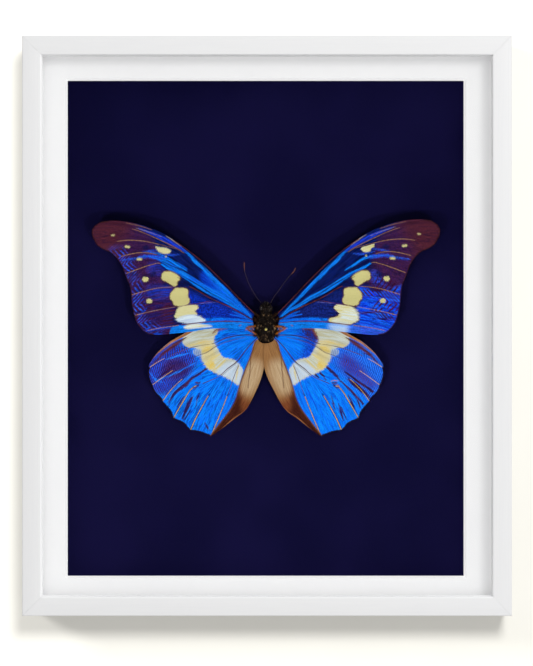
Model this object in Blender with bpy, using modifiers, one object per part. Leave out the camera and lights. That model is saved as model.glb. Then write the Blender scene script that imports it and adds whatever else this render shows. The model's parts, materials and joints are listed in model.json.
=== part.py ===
"""Framed butterfly specimen: a blue butterfly pinned on a navy board behind a mat and glass in a white box frame.

Metres, +Z up. The frame's front faces -Y and its back lies on the wall at Y = 0. The origin is the point on
the wall where a nail carries the hanger, so the frame's centre is below it.
"""

import math

import bmesh
import bpy
from mathutils import Matrix, Vector

MM = 0.001
GAP = 0.3 * MM  # left between pieces that touch

# Frame
FRAME_WIDTH = 196 * MM
FRAME_HEIGHT = 232.2 * MM
FRAME_DEPTH = 27 * MM
FACE_WIDTH = 7.7 * MM
LIP_DEPTH = 6 * MM
RABBET_WIDTH = 4 * MM
EDGE_ROUNDING = 0.5 * MM
HANGER_HEIGHT = 94 * MM  # above the frame's centre

# What the rabbet holds, from the front to the back
GLASS_THICKNESS = 2 * MM
MAT_THICKNESS = 1 * MM
MAT_WINDOW = (160 * MM, 200 * MM)
MAT_WINDOW_SHIFT = (-0.55 * MM, -1.0 * MM)
SPACER_DEPTH = 9 * MM
SPACER_WIDTH = 8 * MM
BOARD_THICKNESS = 2 * MM
PANEL_THICKNESS = 2.5 * MM

# Retaining tabs, driven into the rabbet's wall behind the back panel
TAB_SIZE = (7 * MM, 0.6 * MM, 10 * MM)
TAB_ROUNDING = 1.8 * MM
TAB_EMBEDDED = 2.1 * MM
TAB_OFFSET = {"top": 50 * MM, "bottom": 50 * MM, "left": 62 * MM, "right": 62 * MM}

# Sawtooth hanger
HANGER_LENGTH = 46 * MM
HANGER_WIDTH = 10 * MM
HANGER_PLATE = 0.8 * MM
HANGER_STEP = 1.1 * MM
HANGER_FOOT = 8 * MM
HANGER_RAMP = 2 * MM
TOOTH_PITCH = 4 * MM
TOOTH_DEPTH = 2 * MM
TOOTH_COUNT = 7
RIVET_RADIUS = 1 * MM
RIVET_HEAD_RADIUS = 2.2 * MM
RIVET_HEAD_HEIGHT = 0.8 * MM

# Specimen: depths are behind the frame's front face, and heights are from the pin
PIN_PLACE = (-0.4 * MM, -1.4 * MM)
BODY_DEPTH = 15 * MM
BODY_FLATTENING = 0.84
FOREWING_DEPTH = 13.8 * MM
HINDWING_DEPTH = 15.3 * MM
WING_THICKNESS = 0.4 * MM
WING_PLEAT = 0.3 * MM
WING_BOW = 0.5 * MM
WING_STEPS_ALONG = 15
WING_STEPS_BETWEEN_VEINS = 2
EYE_RADIUS = 1.1 * MM
EYE_PLACE = (1.75 * MM, 14.6 * MM, 8.5 * MM)  # half spacing, depth, height
ANTENNA_RADIUS = 0.22 * MM
ANTENNA_CLUB = 1.9  # the club's radius over the shaft's
ANTENNA_DEPTHS = (14.2 * MM, 12.4 * MM)  # at the head and at the tip
PIN_RADIUS = 0.22 * MM
PIN_HEAD_RADIUS = 0.65 * MM
PIN_HEAD_DEPTH = 10.4 * MM
PIN_TIP_DEPTH = 20.6 * MM

# Right wings in millimetres from the pin, out from the body's axis and up. Each row is one vein line from
# its root to the margin, and then the margin's points up to the next vein line.
FOREWING = (
    ([(4.7, 6.5), (9.8, 11.7), (17.9, 20.3), (26.0, 28.2), (34.1, 34.5), (42.3, 39.8), (50.4, 43.0),
      (57.7, 44.6), (64.2, 44.9)], [(67.1, 44.4)]),
    ([(5.0, 5.3), (9.8, 10.5), (17.9, 18.9), (26.0, 26.4), (34.1, 32.1), (44.3, 37.6), (53.7, 41.4),
      (62.6, 43.0), (69.5, 43.0)], [(70.7, 40.6), (70.1, 37.6)]),
    ([(5.2, 4.8), (13.8, 13.0), (22.0, 19.7), (30.1, 26.4), (35.0, 30.4), (40.2, 33.9), (46.3, 35.9),
      (52.4, 36.8), (58.5, 36.7), (68.5, 34.7)], [(65.9, 33.0), (63.0, 31.7)]),
    ([(5.4, 4.5), (13.8, 11.5), (22.0, 17.0), (30.1, 22.5), (37.4, 27.6), (42.3, 29.8), (45.9, 31.3),
      (50.4, 31.8), (55.3, 31.1), (60.6, 29.6)], [(58.7, 26.6)]),
    ([(5.4, 4.2), (13.8, 9.8), (22.0, 13.9), (28.0, 17.5), (35.0, 21.3), (42.3, 27.0), (46.3, 26.8),
      (51.2, 25.2), (57.3, 22.9)], [(56.1, 19.9), (55.1, 17.0)]),
    ([(5.4, 3.9), (13.8, 8.8), (22.0, 12.6), (30.5, 17.5), (35.0, 17.6), (40.6, 17.4), (46.3, 16.6),
      (54.7, 14.2)], [(54.6, 11.1), (54.1, 8.3)]),
    ([(5.4, 3.5), (13.8, 8.0), (21.1, 11.5), (26.0, 11.0), (32.1, 10.0), (39.4, 8.8), (46.3, 7.5),
      (53.5, 5.7)], [(52.6, 3.0), (51.2, 0.9)]),
    ([(5.1, 2.6), (13.8, 3.3), (22.0, 3.2), (28.0, 2.6), (34.1, 1.8), (42.3, 0.7), (49.6, -0.8)],
     [(48.0, -1.8)]),
    ([(4.7, -0.4), (9.8, 0.2), (17.9, 0.4), (24.0, 0.1), (30.1, -0.9), (36.2, -1.6), (42.3, -2.2),
      (45.9, -2.2)], []),
)
HINDWING = (
    ([(3.9, -1.9), (7.7, 0.8), (13.8, 2.6), (21.1, 3.0), (28.0, 1.2), (34.1, -2.3), (39.0, -5.1),
      (43.5, -9.0), (46.3, -12.4)], [(47.4, -14.1)]),
    ([(3.8, -2.4), (9.8, -2.4), (15.9, -3.4), (21.1, -5.7), (26.0, -6.5), (31.3, -7.7), (37.4, -10.0),
      (43.1, -12.8), (47.7, -15.7)], [(48.0, -17.7), (47.6, -20.2)]),
    ([(3.7, -2.7), (9.8, -3.5), (15.9, -5.0), (20.7, -7.2), (24.0, -9.4), (28.0, -10.8), (34.1, -14.3),
      (40.6, -18.5), (46.5, -22.8)], [(45.7, -25.0), (44.1, -26.9), (42.7, -28.3)]),
    ([(3.6, -3.0), (9.8, -5.1), (15.9, -7.8), (20.3, -10.2), (23.2, -12.2), (27.6, -14.9), (34.1, -20.2),
      (38.6, -24.6), (42.3, -29.5)], [(40.4, -31.5), (38.8, -33.6), (38.2, -35.2)]),
    ([(3.5, -3.4), (7.3, -7.2), (11.6, -12.8), (15.4, -15.8), (19.5, -19.3), (25.2, -21.8), (30.1, -24.0),
      (33.7, -29.3), (37.8, -36.4)], [(35.6, -37.2), (33.3, -38.5), (32.0, -40.1)]),
    ([(3.3, -3.7), (7.0, -7.6), (11.2, -13.0), (14.8, -16.3), (18.7, -20.0), (22.0, -24.6), (25.6, -30.7),
      (28.5, -36.0), (30.8, -41.2)], [(28.0, -41.6), (25.2, -42.5)]),
    ([(3.2, -4.1), (6.5, -8.4), (10.2, -13.3), (11.6, -15.7), (12.9, -18.9), (14.6, -24.0), (16.7, -29.5),
      (19.3, -36.0), (22.4, -43.5)], []),
    ([(2.8, -4.8), (5.5, -10.4), (7.8, -15.7), (9.6, -20.6), (10.8, -25.4), (12.8, -30.7), (15.4, -35.6),
      (18.3, -39.9), (20.9, -42.6)], []),
    ([(1.4, -5.6), (3.7, -11.6), (5.5, -16.5), (6.9, -21.4), (7.9, -25.4), (9.6, -29.9), (12.2, -34.0),
      (14.8, -37.2), (17.3, -39.9)], [(14.8, -37.9)]),
    ([(0.3, -5.7), (0.3, -10.8), (0.6, -15.7), (2.0, -20.6), (3.9, -25.0), (5.9, -29.1), (7.9, -32.3),
      (10.2, -34.5), (12.6, -36.0)], []),
)
# Head and thorax in millimetres: radius and height from the pin, top to bottom.
BODY_PROFILE = (
    (0, 10.7), (1.1, 10.5), (2.0, 9.8), (2.4, 8.6), (2.2, 7.3), (1.7, 6.4), (2.4, 5.6), (3.5, 4.3),
    (4.2, 2.6), (4.4, 0.6), (4.2, -1.2), (3.6, -2.9), (2.5, -4.1), (1.2, -4.6), (0, -4.7),
)
# Antennae in millimetres from the pin, from the head to the tip.
ANTENNAE = {
    "left": [(-1.9, 10.7), (-3.7, 12.8), (-5.9, 16.4), (-7.5, 19.7), (-8.5, 22.9), (-8.8, 25.2), (-8.8, 27.3)],
    "right": [(1.9, 10.7), (3.0, 12.8), (5.3, 16.0), (7.7, 19.3), (10.0, 22.1), (11.3, 23.5), (12.0, 25.0)],
}
MIRROR_SIDE = {"left": -1, "right": 1}

# Depths that follow from the sizes above
GLASS_DEPTH = LIP_DEPTH + GAP
MAT_DEPTH = GLASS_DEPTH + GLASS_THICKNESS + GAP
SPACERS_START = MAT_DEPTH + MAT_THICKNESS + GAP
BOARD_DEPTH = SPACERS_START + SPACER_DEPTH + GAP
PANEL_DEPTH = BOARD_DEPTH + BOARD_THICKNESS + GAP
PANEL_BACK = PANEL_DEPTH + PANEL_THICKNESS
WALL_LEFT = FACE_WIDTH - RABBET_WIDTH  # of the rail behind its lip
INSERT_WIDTH = FRAME_WIDTH - 2 * WALL_LEFT - 2 * GAP
INSERT_HEIGHT = FRAME_HEIGHT - 2 * WALL_LEFT - 2 * GAP


def clear_scene():
    for obj in list(bpy.data.objects):
        bpy.data.objects.remove(obj, do_unlink=True)


def new_collection(name):
    collection = bpy.data.collections.new(name)
    bpy.context.scene.collection.children.link(collection)
    return collection


def material(name, colour, roughness, metallic=0.0):
    made = bpy.data.materials.new(name)
    made.use_nodes = True
    shader = made.node_tree.nodes["Principled BSDF"]
    shader.inputs["Base Color"].default_value = (*colour, 1)
    shader.inputs["Roughness"].default_value = roughness
    shader.inputs["Metallic"].default_value = metallic
    return made


def place(obj, location=(0, 0, 0), rotation=(0, 0, 0), parent=None):
    obj.location = location
    obj.rotation_euler = rotation
    obj.parent = parent or CENTRE
    return obj


def piece(name, data, finish, location=(0, 0, 0), rotation=(0, 0, 0), parent=None):
    """A part of the object."""
    obj = bpy.data.objects.new(name, data)
    data.materials.clear()
    data.materials.append(finish)
    PARTS.objects.link(obj)
    return place(obj, location, rotation, parent)


def cutter(name, mesh, location=(0, 0, 0), rotation=(0, 0, 0), parent=None):
    """A shape that only cuts others."""
    obj = bpy.data.objects.new(name, mesh)
    CUTTERS.objects.link(obj)
    obj.hide_render = True
    obj.display_type = "WIRE"
    return place(obj, location, rotation, parent)


def boolean(obj, other, operation="DIFFERENCE"):
    modifier = obj.modifiers.new(f"{operation.lower()} {other.name}", "BOOLEAN")
    modifier.operation = operation
    modifier.object = other
    modifier.solver = "EXACT"


def mesh_from(bm, name):
    bmesh.ops.recalc_face_normals(bm, faces=bm.faces)
    mesh = bpy.data.meshes.new(name)
    bm.to_mesh(mesh)
    bm.free()
    return mesh


def box_mesh(name, size):
    bm = bmesh.new()
    bmesh.ops.create_cube(bm, size=1)
    bmesh.ops.scale(bm, verts=bm.verts, vec=size)
    return mesh_from(bm, name)


def prism_mesh(name, outline, y_from, y_to):
    """The outline, points of X and Z, drawn out along Y."""
    bm = bmesh.new()
    face = bm.faces.new([bm.verts.new((x, y_from, z)) for x, z in outline])
    drawn = bmesh.ops.extrude_face_region(bm, geom=[face])
    moved = [item for item in drawn["geom"] if isinstance(item, bmesh.types.BMVert)]
    bmesh.ops.translate(bm, verts=moved, vec=(0, y_to - y_from, 0))
    return mesh_from(bm, name)


def cylinder_mesh(name, radius, y_from, y_to, sides=16):
    turns = [2 * math.pi * step / sides for step in range(sides)]
    return prism_mesh(name, [(radius * math.cos(t), radius * math.sin(t)) for t in turns], y_from, y_to)


def turned(obj, sides):
    """Turns the object's open profile about its own Z."""
    modifier = obj.modifiers.new("turned", "SCREW")
    modifier.axis = "Z"
    modifier.steps = modifier.render_steps = sides
    modifier.use_merge_vertices = True
    modifier.merge_threshold = 0.01 * MM
    return obj


def profile_mesh(name, points):
    """An open profile of radii and heights, top to bottom."""
    mesh = bpy.data.meshes.new(name)
    edges = [(i, i + 1) for i in range(len(points) - 1)]
    mesh.from_pydata([(radius, 0, height) for radius, height in points], edges, [])
    return mesh


def at_depth(depth):
    """Y of a depth behind the frame's front face."""
    return depth - FRAME_DEPTH


def rail_mesh(name, length):
    """A rabbeted rail along X with its outer side at Z = 0 and both ends mitred."""
    section = (
        (0, 0), (0, -FRAME_DEPTH), (-FACE_WIDTH, -FRAME_DEPTH), (-FACE_WIDTH, at_depth(LIP_DEPTH)),
        (-WALL_LEFT, at_depth(LIP_DEPTH)), (-WALL_LEFT, 0),
    )
    bm = bmesh.new()
    face = bm.faces.new([bm.verts.new((-1, y, z)) for z, y in section])
    drawn = bmesh.ops.extrude_face_region(bm, geom=[face])
    moved = [item for item in drawn["geom"] if isinstance(item, bmesh.types.BMVert)]
    bmesh.ops.translate(bm, verts=moved, vec=(2, 0, 0))
    front = [e for e in bm.edges if all(v.co.y < -FRAME_DEPTH + EDGE_ROUNDING for v in e.verts)
             and e.verts[0].co.x * e.verts[1].co.x < 0]
    bmesh.ops.bevel(bm, geom=front, offset=EDGE_ROUNDING, segments=2, profile=0.5, affect="EDGES")
    mitre_gap = GAP / 2 * math.sqrt(2)
    for vertex in bm.verts:
        half = length / 2 + vertex.co.z - mitre_gap
        vertex.co.x = math.copysign(half, vertex.co.x)
    return mesh_from(bm, name)


def tab_mesh(name):
    """A flat steel tab, its inner end rounded, hanging down from Z = 0."""
    width, thickness, length = TAB_SIZE
    bm = bmesh.new()
    bmesh.ops.create_cube(bm, size=1)
    bmesh.ops.scale(bm, verts=bm.verts, vec=TAB_SIZE)
    bmesh.ops.translate(bm, verts=bm.verts, vec=(0, 0, -length / 2))
    corners = [e for e in bm.edges if all(v.co.z < -length / 2 for v in e.verts)
               and e.verts[0].co.y * e.verts[1].co.y < 0]
    bmesh.ops.bevel(bm, geom=corners, offset=TAB_ROUNDING, segments=3, profile=0.5, affect="EDGES")
    return mesh_from(bm, name)


def build_frame(white, steel):
    """Four mitred rails, and two tabs in kerfs in each."""
    sides = (
        ("top", FRAME_WIDTH, (0, 0, FRAME_HEIGHT / 2), 0),
        ("right", FRAME_HEIGHT, (FRAME_WIDTH / 2, 0, 0), 90),
        ("bottom", FRAME_WIDTH, (0, 0, -FRAME_HEIGHT / 2), 180),
        ("left", FRAME_HEIGHT, (-FRAME_WIDTH / 2, 0, 0), 270),
    )
    width, thickness, length = TAB_SIZE
    tab_y = at_depth(PANEL_BACK + GAP) + thickness / 2
    tab_top = TAB_EMBEDDED - WALL_LEFT
    kerf_size = (width + 2 * GAP, thickness + 2 * GAP, TAB_EMBEDDED + 2 * GAP)
    for side, rail_length, location, turn in sides:
        name = f"frame_{side}"
        rail = piece(name, rail_mesh(name, rail_length), white, location, (0, math.radians(turn), 0))
        for number, along in enumerate((-TAB_OFFSET[side], TAB_OFFSET[side]), 1):
            kerf_name = f"kerf_{side}_{number}"
            kerf_centre = (along, tab_y, tab_top + GAP - kerf_size[2] / 2)
            kerf = cutter(kerf_name, box_mesh(kerf_name, kerf_size), kerf_centre, parent=rail)
            boolean(rail, kerf)
            tab_name = f"tab_{side}_{number}"
            piece(tab_name, tab_mesh(tab_name), steel, (along, tab_y, tab_top), parent=rail)


def build_glass(clear):
    centre = (0, at_depth(GLASS_DEPTH + GLASS_THICKNESS / 2), 0)
    piece("glass", box_mesh("glass", (INSERT_WIDTH, GLASS_THICKNESS, INSERT_HEIGHT)), clear, centre)


def build_mat(card):
    """A card with a window cut at 45 degrees, wider at the front."""
    centre = (0, at_depth(MAT_DEPTH + MAT_THICKNESS / 2), 0)
    mat = piece("mat", box_mesh("mat", (INSERT_WIDTH, MAT_THICKNESS, INSERT_HEIGHT)), card, centre)
    overshoot = 1 * MM
    bm = bmesh.new()
    bmesh.ops.create_cube(bm, size=1)
    bmesh.ops.scale(bm, verts=bm.verts, vec=(MAT_WINDOW[0], MAT_THICKNESS + 2 * overshoot, MAT_WINDOW[1]))
    for vertex in bm.verts:
        spread = MAT_THICKNESS + overshoot if vertex.co.y < 0 else -overshoot
        vertex.co.x += spread * math.copysign(1, vertex.co.x)
        vertex.co.z += spread * math.copysign(1, vertex.co.z)
    shift_x, shift_z = MAT_WINDOW_SHIFT
    window = cutter("mat_window", mesh_from(bm, "mat_window"), (shift_x, centre[1], shift_z))
    boolean(mat, window)


def build_spacers(strip):
    """Four strips that hold the mat off the board, the side ones between the other two."""
    y = at_depth(SPACERS_START + SPACER_DEPTH / 2)
    side_height = INSERT_HEIGHT - 2 * SPACER_WIDTH - 2 * GAP
    for name, sign in (("spacer_top", 1), ("spacer_bottom", -1)):
        z = sign * (INSERT_HEIGHT - SPACER_WIDTH) / 2
        piece(name, box_mesh(name, (INSERT_WIDTH, SPACER_DEPTH, SPACER_WIDTH)), strip, (0, y, z))
    for name, sign in (("spacer_left", -1), ("spacer_right", 1)):
        x = sign * (INSERT_WIDTH - SPACER_WIDTH) / 2
        piece(name, box_mesh(name, (SPACER_WIDTH, SPACER_DEPTH, side_height)), strip, (x, y, 0))


def build_board(navy):
    centre = (0, at_depth(BOARD_DEPTH + BOARD_THICKNESS / 2), 0)
    size = (INSERT_WIDTH, BOARD_THICKNESS, INSERT_HEIGHT)
    board = piece("mount_board", box_mesh("mount_board", size), navy, centre)
    boolean(board, pin_hole("pin_hole_board"))


def build_back(brown, steel):
    """The back panel with the hanger riveted to it."""
    centre = (0, at_depth(PANEL_DEPTH + PANEL_THICKNESS / 2), 0)
    size = (INSERT_WIDTH, PANEL_THICKNESS, INSERT_HEIGHT)
    panel = piece("back_panel", box_mesh("back_panel", size), brown, centre)

    foot_y = at_depth(PANEL_BACK + GAP) + HANGER_PLATE / 2
    half = HANGER_LENGTH / 2
    raised = half - HANGER_FOOT - HANGER_RAMP
    path = [(-half, foot_y), (-half + HANGER_FOOT, foot_y), (-raised, foot_y + HANGER_STEP)]
    path += [(-x, y) for x, y in reversed(path)]
    low = HANGER_HEIGHT - TOOTH_DEPTH
    mesh = bpy.data.meshes.new("hanger")
    count = len(path)
    mesh.from_pydata(
        [(x, y, low) for x, y in path] + [(x, y, low + HANGER_WIDTH) for x, y in path], [],
        [(i, i + 1, count + i + 1, count + i) for i in range(count - 1)])
    hanger = piece("hanger", mesh, steel)
    solid = hanger.modifiers.new("plate", "SOLIDIFY")
    solid.thickness = HANGER_PLATE
    solid.offset = 0
    solid.use_even_offset = True
    teeth = [(-TOOTH_PITCH * TOOTH_COUNT / 2, low - 1 * MM)]
    for tooth in range(TOOTH_COUNT):
        start = (tooth - TOOTH_COUNT / 2) * TOOTH_PITCH
        teeth += [(start, low), (start + TOOTH_PITCH / 2, HANGER_HEIGHT)]
    teeth += [(TOOTH_PITCH * TOOTH_COUNT / 2, low), (TOOTH_PITCH * TOOTH_COUNT / 2, low - 1 * MM)]
    boolean(hanger, cutter("hanger_teeth", prism_mesh("hanger_teeth", teeth, foot_y - 1 * MM, 1 * MM)))

    head_y = foot_y + HANGER_PLATE / 2 + GAP
    shank = head_y - at_depth(PANEL_DEPTH) - 0.1 * MM
    arc = [math.radians(step) for step in range(0, 90, 15)]
    profile = [(RIVET_HEAD_RADIUS * math.sin(t), RIVET_HEAD_HEIGHT * math.cos(t)) for t in arc]
    profile += [(RIVET_HEAD_RADIUS, 0), (RIVET_RADIUS, 0), (RIVET_RADIUS, -shank), (0, -shank)]
    for side, sign in MIRROR_SIDE.items():
        x = sign * (half - HANGER_FOOT / 2)
        z = low + HANGER_WIDTH / 2
        hole = cylinder_mesh(f"rivet_hole_{side}", RIVET_RADIUS + GAP, at_depth(PANEL_DEPTH) - 1 * MM, 1 * MM)
        hole = cutter(f"rivet_hole_{side}", hole, (x, 0, z))
        boolean(hanger, hole)
        boolean(panel, hole)
        rivet = piece(f"rivet_{side}", profile_mesh(f"rivet_{side}", profile), steel, (x, head_y, z),
                      (math.radians(-90), 0, 0))
        turned(rivet, 16)


def smooth_curve(points, count):
    """Points evenly spaced along a Catmull-Rom curve through the given ones."""
    knots = [Vector(p) for p in points]
    knots = [2 * knots[0] - knots[1], *knots, 2 * knots[-1] - knots[-2]]
    dense = []
    for a, b, c, d in zip(knots, knots[1:], knots[2:], knots[3:]):
        for t in (step / 8 for step in range(8)):
            dense.append(0.5 * (2 * b + (c - a) * t + (2 * a - 5 * b + 4 * c - d) * t**2
                                + (3 * b - a - 3 * c + d) * t**3))
    dense.append(knots[-2])
    lengths = [0.0]
    for a, b in zip(dense, dense[1:]):
        lengths.append(lengths[-1] + (b - a).length)
    spaced = []
    at = 0
    for step in range(count):
        goal = lengths[-1] * step / (count - 1)
        while at < len(dense) - 2 and lengths[at + 1] < goal:
            at += 1
        span = lengths[at + 1] - lengths[at]
        spaced.append(dense[at].lerp(dense[at + 1], (goal - lengths[at]) / span))
    return spaced


def wing_lines(veins):
    """Lines of points from root to margin, with how near each line is to a vein: 1 on it, 0 halfway."""
    steps, lanes = WING_STEPS_ALONG, WING_STEPS_BETWEEN_VEINS
    curves = [smooth_curve(points, steps + 1) for points, edge in veins]
    lines = []
    for index in range(len(veins) - 1):
        near, far = curves[index], curves[index + 1]
        edge = smooth_curve([near[-1], *veins[index][1], far[-1]], lanes + 1)
        for lane in range(lanes):
            share = lane / lanes
            line = [a.lerp(b, share) for a, b in zip(near, far)]
            pull = edge[lane] - line[-1]
            line = [p + pull * (step / steps) ** 4 for step, p in enumerate(line)]
            lines.append((line, abs(1 - 2 * share)))
    lines.append((curves[-1], 1.0))
    return lines


def build_wing(name, veins, side, depth, finish, clearance):
    """A thin plate lofted across the vein lines, pleated between them and cut clear of the thorax."""
    lines = wing_lines(veins)
    count = WING_STEPS_ALONG + 1
    vertices = []
    for line, ridge in lines:
        for step, point in enumerate(line):
            along = step / WING_STEPS_ALONG
            pleat = WING_PLEAT * (0.5 - ridge) * min(1, 4 * along)
            bow = -WING_BOW * math.sin(math.pi * along)
            vertices.append((side * point.x * MM, pleat + bow, point.y * MM))
    faces = []
    for row in range(len(lines) - 1):
        for step in range(WING_STEPS_ALONG):
            a, b = row * count + step, (row + 1) * count + step
            faces.append((a, a + 1, b + 1, b))
    mesh = bpy.data.meshes.new(name)
    mesh.from_pydata(vertices, [], faces)
    if side < 0:
        mesh.flip_normals()
    wing = piece(name, mesh, finish, (PIN_PLACE[0], at_depth(depth), PIN_PLACE[1]))
    solid = wing.modifiers.new("plate", "SOLIDIFY")
    solid.thickness = WING_THICKNESS
    solid.offset = 0
    boolean(wing, clearance)


def turned_mesh(name, points, sides, flattening):
    """A turned form as a mesh, flattened front to back."""
    source = bpy.data.objects.new(name, profile_mesh(name, points))
    PARTS.objects.link(source)
    turned(source, sides)
    evaluated = source.evaluated_get(bpy.context.evaluated_depsgraph_get())
    mesh = bpy.data.meshes.new_from_object(evaluated)
    bpy.data.objects.remove(source)
    mesh.transform(Matrix.Diagonal((1, flattening, 1, 1)))
    return mesh


def pin_hole(name):
    """The pin's hole with clearance, from before the thorax to past the pin's tip."""
    mesh = cylinder_mesh(name, PIN_RADIUS + GAP, at_depth(PIN_HEAD_DEPTH), at_depth(PIN_TIP_DEPTH + GAP), 12)
    return cutter(name, mesh, (PIN_PLACE[0], 0, PIN_PLACE[1]))


def build_body(brown):
    """Head with two eyes and thorax, pierced by the pin."""
    centre = (PIN_PLACE[0], at_depth(BODY_DEPTH), PIN_PLACE[1])
    profile = [(radius * MM, height * MM) for radius, height in BODY_PROFILE]
    body = piece("body", turned_mesh("body", profile, 20, BODY_FLATTENING), brown, centre)
    for side, sign in MIRROR_SIDE.items():
        bm = bmesh.new()
        bmesh.ops.create_uvsphere(bm, u_segments=12, v_segments=8, radius=EYE_RADIUS)
        spacing, depth, height = EYE_PLACE
        location = (centre[0] + sign * spacing, at_depth(depth), centre[2] + height)
        boolean(body, cutter(f"eye_{side}", mesh_from(bm, f"eye_{side}"), location), "UNION")
    boolean(body, pin_hole("pin_hole_thorax"))


def build_wings(finish):
    """The thorax's form, grown by the gap, cuts the roots of all four wings."""
    grow = 1.2 * GAP / MM
    profile = [(radius + (grow if radius else 0), height + math.copysign(grow, height))
               for radius, height in BODY_PROFILE]
    profile = [(radius * MM, height * MM) for radius, height in profile]
    mesh = turned_mesh("thorax_clearance", profile, 20, BODY_FLATTENING)
    clearance = cutter("thorax_clearance", mesh, (PIN_PLACE[0], at_depth(BODY_DEPTH), PIN_PLACE[1]))
    for side, sign in MIRROR_SIDE.items():
        build_wing(f"forewing_{side}", FOREWING, sign, FOREWING_DEPTH, finish["forewing"], clearance)
        build_wing(f"hindwing_{side}", HINDWING, sign, HINDWING_DEPTH, finish["hindwing"], clearance)


def build_antennae(brown):
    for side, points in ANTENNAE.items():
        name = f"antenna_{side}"
        line = smooth_curve(points, 22)
        curve = bpy.data.curves.new(name, "CURVE")
        curve.dimensions = "3D"
        curve.bevel_depth = ANTENNA_RADIUS
        curve.bevel_resolution = 2
        curve.use_fill_caps = True
        spline = curve.splines.new("POLY")
        spline.points.add(len(line) - 1)
        for index, point in enumerate(line):
            share = index / (len(line) - 1)
            y = (ANTENNA_DEPTHS[1] - ANTENNA_DEPTHS[0]) * share
            spline.points[index].co = (point.x * MM, y, point.y * MM, 1)
            club = math.exp(-((share - 0.9) / 0.1) ** 2)
            spline.points[index].radius = 1 + (ANTENNA_CLUB - 1) * club
        piece(name, curve, brown, (PIN_PLACE[0], at_depth(ANTENNA_DEPTHS[0]), PIN_PLACE[1]))


def build_pin(brass):
    """A ball head on a thin shaft that ends in a point."""
    tip = PIN_HEAD_DEPTH - PIN_TIP_DEPTH
    arc = [math.radians(step) for step in range(0, 165, 15)]
    profile = [(PIN_HEAD_RADIUS * math.sin(t), PIN_HEAD_RADIUS * math.cos(t)) for t in arc]
    profile += [(PIN_RADIUS, -PIN_HEAD_RADIUS), (PIN_RADIUS, tip + 4 * PIN_RADIUS), (0, tip)]
    location = (PIN_PLACE[0], at_depth(PIN_HEAD_DEPTH), PIN_PLACE[1])
    turned(piece("pin", profile_mesh("pin", profile), brass, location, (math.radians(90), 0, 0)), 12)


def main():
    white = material("white_lacquer", (0.83, 0.83, 0.82), 0.4)
    card = material("mat_card", (0.9, 0.9, 0.89), 0.8)
    clear = material("picture_glass", (0.9, 0.95, 0.95), 0.05)
    navy = material("navy_paper", (0.006, 0.005, 0.03), 0.6)
    brown_board = material("hardboard", (0.2, 0.11, 0.06), 0.8)
    steel = material("zinc_steel", (0.6, 0.6, 0.6), 0.35, 1)
    fur = material("dark_fur", (0.03, 0.02, 0.015), 0.9)
    brass = material("pin_brass", (0.5, 0.42, 0.12), 0.3, 1)
    wings = {
        "forewing": material("forewing_scales", (0.01, 0.08, 0.6), 0.4, 0.3),
        "hindwing": material("hindwing_scales", (0.02, 0.15, 0.7), 0.4, 0.3),
    }
    build_frame(white, steel)
    build_glass(clear)
    build_mat(card)
    build_spacers(navy)
    build_board(navy)
    build_back(brown_board, steel)
    build_body(fur)
    build_wings(wings)
    build_antennae(fur)
    build_pin(brass)


clear_scene()
PARTS = new_collection("framed_butterfly_specimen")
CUTTERS = new_collection("cutters")
CENTRE = bpy.data.objects.new("frame_centre", None)
CENTRE.location = (0, 0, -HANGER_HEIGHT)
PARTS.objects.link(CENTRE)
main()
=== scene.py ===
"""Looks of the framed butterfly specimen: fine rails, patterned wings, fur, and a material on every part.

Metres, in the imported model's frame. Sizes of the specimen are in millimetres from the pin, and depths are in
millimetres behind the frame's front face.
"""

import json
import math

import bpy
import numpy as np
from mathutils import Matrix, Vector, noise

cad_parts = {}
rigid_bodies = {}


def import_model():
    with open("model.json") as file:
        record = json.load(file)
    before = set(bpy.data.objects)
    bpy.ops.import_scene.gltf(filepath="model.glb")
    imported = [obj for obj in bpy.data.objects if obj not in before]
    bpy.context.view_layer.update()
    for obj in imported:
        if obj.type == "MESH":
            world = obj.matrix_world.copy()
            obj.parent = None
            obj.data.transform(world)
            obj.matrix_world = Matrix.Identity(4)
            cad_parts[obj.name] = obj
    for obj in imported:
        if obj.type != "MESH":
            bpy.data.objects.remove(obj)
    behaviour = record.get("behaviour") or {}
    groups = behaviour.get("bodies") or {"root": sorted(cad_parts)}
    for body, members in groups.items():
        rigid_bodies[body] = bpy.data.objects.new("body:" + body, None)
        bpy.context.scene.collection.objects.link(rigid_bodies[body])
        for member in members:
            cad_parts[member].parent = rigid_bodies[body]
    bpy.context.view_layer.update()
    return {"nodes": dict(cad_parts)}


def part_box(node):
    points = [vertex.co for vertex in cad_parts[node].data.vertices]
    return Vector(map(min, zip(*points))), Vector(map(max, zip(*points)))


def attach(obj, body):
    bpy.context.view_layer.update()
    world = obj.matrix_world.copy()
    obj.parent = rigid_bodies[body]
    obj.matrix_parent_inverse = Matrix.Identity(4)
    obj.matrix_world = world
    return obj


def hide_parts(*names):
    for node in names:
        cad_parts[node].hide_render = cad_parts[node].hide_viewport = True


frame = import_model()

MM = 0.001
NODES = frame["nodes"]
FRAME_LOW = Vector((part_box("frame_left")[0].x, *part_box("frame_bottom")[0].yz))
FRAME_HIGH = Vector((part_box("frame_right")[1].x, *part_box("frame_top")[1].yz))
FRAME_CENTRE = (FRAME_LOW + FRAME_HIGH) / 2
FRONT = FRAME_LOW.y
PIN_LOW, PIN_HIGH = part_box("pin")
PIN_X = (PIN_LOW.x + PIN_HIGH.x) / 2
PIN_Z = (PIN_LOW.z + PIN_HIGH.z) / 2

# Camera: straight on, a little below the frame's centre
CAMERA_DISTANCE = 900 * MM
CAMERA_OFFSET = (-0.2 * MM, -2.9 * MM)
PHOTO_HEIGHT = 266.4 * MM  # that the photo takes in at the frame's front
SENSOR = 36

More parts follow.
